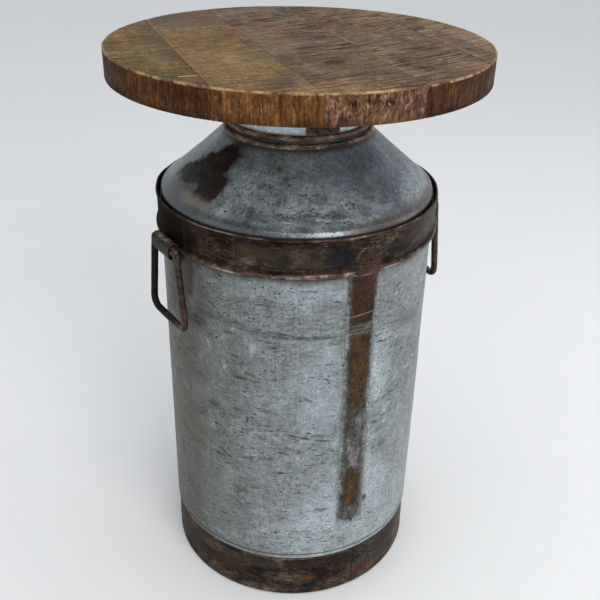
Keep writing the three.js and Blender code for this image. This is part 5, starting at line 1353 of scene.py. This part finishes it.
def board(index, x0, x1, lift):
    outer_lo, outer_hi = x0 <= -TOP_R + 0.01, x1 >= TOP_R - 0.01
    gap = 0.04
    a0 = x0 if outer_lo else x0 + gap
    a1 = x1 if outer_hi else x1 - gap
    nu, nv = (34, 130) if (outer_lo or outer_hi) else (44, 170)
    fs = 0.15                                   # arris of the long edges

    def grid(dx, ks):
        """Points of the board at inset dx from its long edges and ks * rim wear from its rim."""
        P = np.zeros((nv + 1, nu + 1, 2))
        if not (outer_lo or outer_hi):
            u = np.linspace(a0 + dx, a1 - dx, nu + 1)
            for sgn in (-1, 1):
                th = np.arctan2(sgn * np.sqrt(TOP_R ** 2 - u ** 2), u)
                rr = TOP_R - ks * rim_wear(th)
                if sgn < 0:
                    vlo = -np.sqrt(np.maximum(rr ** 2 - u ** 2, 0.01))
                else:
                    vhi = np.sqrt(np.maximum(rr ** 2 - u ** 2, 0.01))
            f = np.linspace(0, 1, nv + 1)[:, None]
            P[..., 0] = u[None, :]
            P[..., 1] = vlo[None, :] * (1 - f) + vhi[None, :] * f
        else:
            edge = (a1 - dx) if outer_lo else (a0 + dx)
            rr0 = TOP_R - ks * 1.2
            vm = math.sqrt(max(1.0, rr0 ** 2 - edge ** 2)) - 0.35 - 0.6 * ks
            # rows bunch towards the two tips
            q = np.linspace(-1, 1, nv + 1)
            v = vm * np.sin(q * math.pi / 2 * 0.96) / math.sin(math.pi / 2 * 0.96)
            sg = -1 if outer_lo else 1
            th = np.arctan2(v, sg * np.sqrt(TOP_R ** 2 - v ** 2))
            fade = np.clip((vm - np.abs(v)) / 12.0, 0, 1)
            rr = TOP_R - ks * (1.2 * (1 - fade) + rim_wear(th) * fade)
            ue = sg * np.sqrt(np.maximum(rr ** 2 - v ** 2, 0.01))
            f = np.linspace(0, 1, nu + 1)[None, :]
            lo, hi = (ue, np.full_like(v, edge)) if outer_lo else (np.full_like(v, edge), ue)
            P[..., 0] = lo[:, None] * (1 - f) + hi[:, None] * f
            P[..., 1] = v[:, None]
        return P

    seam_cols = ([] if outer_lo else [0]) + ([] if outer_hi else [nu])
    loop = ([(0, i) for i in range(nu + 1)] + [(j, nu) for j in range(1, nv + 1)]
            + [(nv, i) for i in range(nu - 1, -1, -1)] + [(j, 0) for j in range(nv - 1, 0, -1)])
    on_seam = []
    for j, i in loop:
        if outer_lo or outer_hi:
            on_seam.append(i in seam_cols)
        else:
            on_seam.append(i in seam_cols and 0 < j < nv)
    on_seam = np.array(on_seam)

    def crown(P):
        u, v = P[..., 0], P[..., 1]
        c0, c1 = max(x0, -TOP_R), min(x1, TOP_R)
        f = (u - (c0 + c1) / 2) / ((c1 - c0) / 2)
        h = lift - 0.22 * f ** 2 + 0.14 * np.sin(v * 0.031 + index) + 0.08 * np.sin(v * 0.083 + u * 0.05 + 2 * index)
        h += 0.05 * np.sin(v * 0.61 + 0.2 * u + index) + 0.035 * np.sin(v * 1.13 - 0.13 * u)
        for ku, kv, su, sv, amt in KNOTS.get(index, []):
            h -= 0.35 * amt * np.exp(-((u - ku) / su) ** 2 - ((v - kv) / sv) ** 2)
        return np.minimum(h, 0.0)

    bld = Build()
    nrow = nu + 1

    def to3(P, Z):
        XY = P @ ROT.T
        return np.concatenate([XY, Z[..., None]], -1)

    G = grid(fs, 1.0)
    top0 = bld.add(to3(G, Z_TOP + crown(G)))
    for j in range(nv):
        for i in range(nu):
            bld.f.append((top0 + j * nrow + i, top0 + j * nrow + i + 1, top0 + (j + 1) * nrow + i + 1, top0 + (j + 1) * nrow + i))
    prev = [top0 + j * nrow + i for j, i in loop]
    m = len(loop)
    Gtop_loop = np.array([G[j, i] for j, i in loop])
    hl = crown(Gtop_loop)
    rim_f = rim_wear(np.arctan2(Gtop_loop[:, 1], Gtop_loop[:, 0]))
    drop = np.where(on_seam, fs, rim_f)

    def ring(P, Z):
        base = bld.add(to3(P, Z))
        cur = [base + k for k in range(m)]
        for k in range(m):
            k2 = (k + 1) % m
            bld.f.append((prev[k], cur[k], cur[k2], prev[k2]))
        return cur

    for ph in (22.5, 45, 67.5, 90):
        k = 1 - math.sin(ph * DEG)
        Gk = grid(fs * k, k)
        L = np.array([Gk[j, i] for j, i in loop])
        prev = ring(L, Z_TOP + hl - drop * (1 - math.cos(ph * DEG)))
    G0 = grid(0.0, 0.0)
    L0 = np.array([G0[j, i] for j, i in loop])
    thl = np.arctan2(L0[:, 1], L0[:, 0])
    z_hi = Z_TOP + hl - drop
    for q in np.linspace(0.1, 0.94, 8):
        z = z_hi * (1 - q) + (Z_BOT + 1.0) * q
        rough = -(0.10 + 0.10 * np.sin(thl * 61 + z * 0.4) * np.sin(thl * 23 + z * 0.2) + 0.08 * np.sin(thl * 151 + z * 0.1)) * (~on_seam)
        sc = 1 + rough / TOP_R
        prev = ring(L0 * sc[:, None], z)
    fb = 0.9
    for ph in (0, 45, 90):
        k = 1 - math.cos(ph * DEG)
        Gk = grid(fb * k, k * 0.55)
        L = np.array([Gk[j, i] for j, i in loop])
        prev = ring(L, np.full(m, Z_BOT + fb * (1 - math.sin(ph * DEG))))
    # underside: same grid, its border is the last ring
    Gb = grid(fb, 0.55)
    inner = {}
    ids = np.zeros((nv + 1, nu + 1), int)
    for k, (j, i) in enumerate(loop):
        ids[j, i] = prev[k]
    mask = np.ones((nv + 1, nu + 1), bool)
    for j, i in loop:
        mask[j, i] = False
    jj, ii = np.where(mask)
    base = bld.add(to3(Gb[jj, ii], np.full(len(jj), Z_BOT)))
    ids[jj, ii] = base + np.arange(len(jj))
    for j in range(nv):
        for i in range(nu):
            bld.f.append((ids[j, i], ids[j + 1, i], ids[j + 1, i + 1], ids[j, i + 1]))
    return bld


edges = [-TOP_R, *SEAMS, TOP_R]
LIFT = [-0.04, -0.12, 0.0, -0.09, -0.03]
SLOT = ["wood_warm", "wood_warm", "wood_dark", "wood_brown", "wood_brown"]
for k in range(5):
    b = board(k + 1, edges[k], edges[k + 1], LIFT[k])
    place(fix_normals(new_object(f"board_{k + 1}_sawn", b.v, [tuple(int(q) for q in f) for f in b.f], WOODS[k + 1], sharp=80)), "top", SLOT[k], f"top_board_{k + 1}")

# locating disc and screws under the top
pt = Z_BOT - 0.3
disc_prof = [(0, pt - PLUG_T), (66.5, pt - PLUG_T), (69.9, pt - PLUG_T + 3.2), (69.9, pt - 0.8), (69.2, pt), (0, pt)]
b = revolve_disc(dense(rounded(disc_prof, 0.8, closed=False, k=3), 4.0, closed=False), 160, dr=lambda th, z: 0.05 * np.sin(37 * th) + 0.04 * np.sin(71 * th))
place(fix_normals(new_object("locating_disc_turned", b.v, b.f, M_BEECH)), "top", "beech", "locating_disc")


def screw_head(cx, cy_, turn):
    """Pan head with a cross recess, facing down."""
    n, rings = 64, 18
    z_face = pt - PLUG_T - 0.3
    rows = []
    for k in range(rings):
        f = k / (rings - 1)
        rr = 4.15 * (1 - f) + 0.02
        dome_h = 2.5 * math.sqrt(max(0.0, 1 - (rr / 4.3) ** 2)) ** 0.8
        row = []
        for i in range(n):
            a = 2 * math.pi * i / n
            x, y = rr * math.cos(a), rr * math.sin(a)
            p, q = x * math.cos(turn) + y * math.sin(turn), -x * math.sin(turn) + y * math.cos(turn)
            arm = min(max(abs(p) / 0.42, abs(q) / 2.1), max(abs(q) / 0.42, abs(p) / 2.1))
            cut = 1.5 * float(1 - smooth(np.array(arm), 0.75, 1.15))
            row.append((cx + x, cy_ + y, z_face - dome_h + cut))
        rows.append(row)
    top_row = [(cx + 4.15 * math.cos(2 * math.pi * i / n), cy_ + 4.15 * math.sin(2 * math.pi * i / n), z_face) for i in range(n)]
    shank = [(cx + 2.0 * math.cos(2 * math.pi * i / n), cy_ + 2.0 * math.sin(2 * math.pi * i / n), z_face) for i in range(n)]
    shank2 = [(cx + 2.0 * math.cos(2 * math.pi * i / n), cy_ + 2.0 * math.sin(2 * math.pi * i / n), z_face + 30.0) for i in range(n)]
    b = Build()
    b0 = b.wrap([shank2, shank, top_row] + rows, True, False)
    b.fan([b0 + i for i in range(n)], (cx, cy_, z_face + 32.5), flip=True)
    last = b0 + (2 + rings) * n
    b.fan([last + i for i in range(n)], (cx, cy_, z_face - 1.0))
    return b


for i, a in enumerate((45, 135, 225, 315)):
    xy = ROT @ np.array([SCREW_PCD * math.cos(a * DEG), SCREW_PCD * math.sin(a * DEG)])
    b = screw_head(xy[0], xy[1], 0.4 + i * 0.9)
    place(fix_normals(new_object(f"disc_screw_head_{i + 1}", b.v, b.f, M_SCREW, sharp=50)), "top", "screw_steel", f"disc_screw_{i + 1}")

# dowels stay as the CAD made them, hidden inside the joints, with a wood finish
for i in range(1, 9):
    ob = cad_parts[f"board_dowel_{i}"]
    if not ob.material_slots:
        ob.data.materials.append(M_BEECH)
    for s in ob.material_slots:
        s.material = M_BEECH

# ---------------------------------------------------------------- stage and light
floor_me = bpy.data.meshes.new("floor")
n, half = 8, 9.0
vs = [(-half + 2 * half * i / n, -half + 2 * half * j / n, -0.0004) for j in range(n + 1) for i in range(n + 1)]
fs_ = [(j * (n + 1) + i, j * (n + 1) + i + 1, (j + 1) * (n + 1) + i + 1, (j + 1) * (n + 1) + i) for j in range(n) for i in range(n)]
floor_me.from_pydata(vs, [], fs_)
floor = bpy.data.objects.new("floor", floor_me)
scene.collection.objects.link(floor)
fm = Mat("floor_paper")
fn = fm.noise(fm.tc, 6.0, 3.0, 0.5)
floor_me.materials.append(fm.finish(fm.mix(fn, (0.80, 0.80, 0.80), (0.83, 0.83, 0.83)), 0.75, 0.0))

world = bpy.data.worlds.new("studio")
scene.world = world
world.use_nodes = True
wt = world.node_tree
bg = wt.nodes["Background"]
bg.inputs[0].default_value = (0.93, 0.96, 1.0, 1.0)
bg.inputs[1].default_value = 0.72


def area(name, loc, target, size, power, color=(1, 1, 1), sy_=None):
    d = bpy.data.lights.new(name, "AREA")
    d.shape = "RECTANGLE"
    d.size, d.size_y = size, sy_ or size
    d.energy = power
    d.color = color
    o = bpy.data.objects.new(name, d)
    o.location = loc
    o.rotation_euler = (Vector(target) - Vector(loc)).to_track_quat("-Z", "Y").to_euler()
    scene.collection.objects.link(o)
    return o


area("key", (1.15, -2.2, 2.0), (0, 0, 0.35), 1.5, 38, (1.0, 0.99, 0.97))
area("overhead", (0.1, -0.2, 2.7), (0, 0, 0.4), 2.2, 14, (0.97, 0.985, 1.0))
area("fill_left", (-2.2, -1.0, 1.2), (0, 0, 0.35), 1.2, 1.4, (0.97, 0.98, 1.0))
area("strip_right", (1.9, 0.2, 0.7), (0, 0, 0.3), 0.5, 5, (1, 1, 1), 1.4)
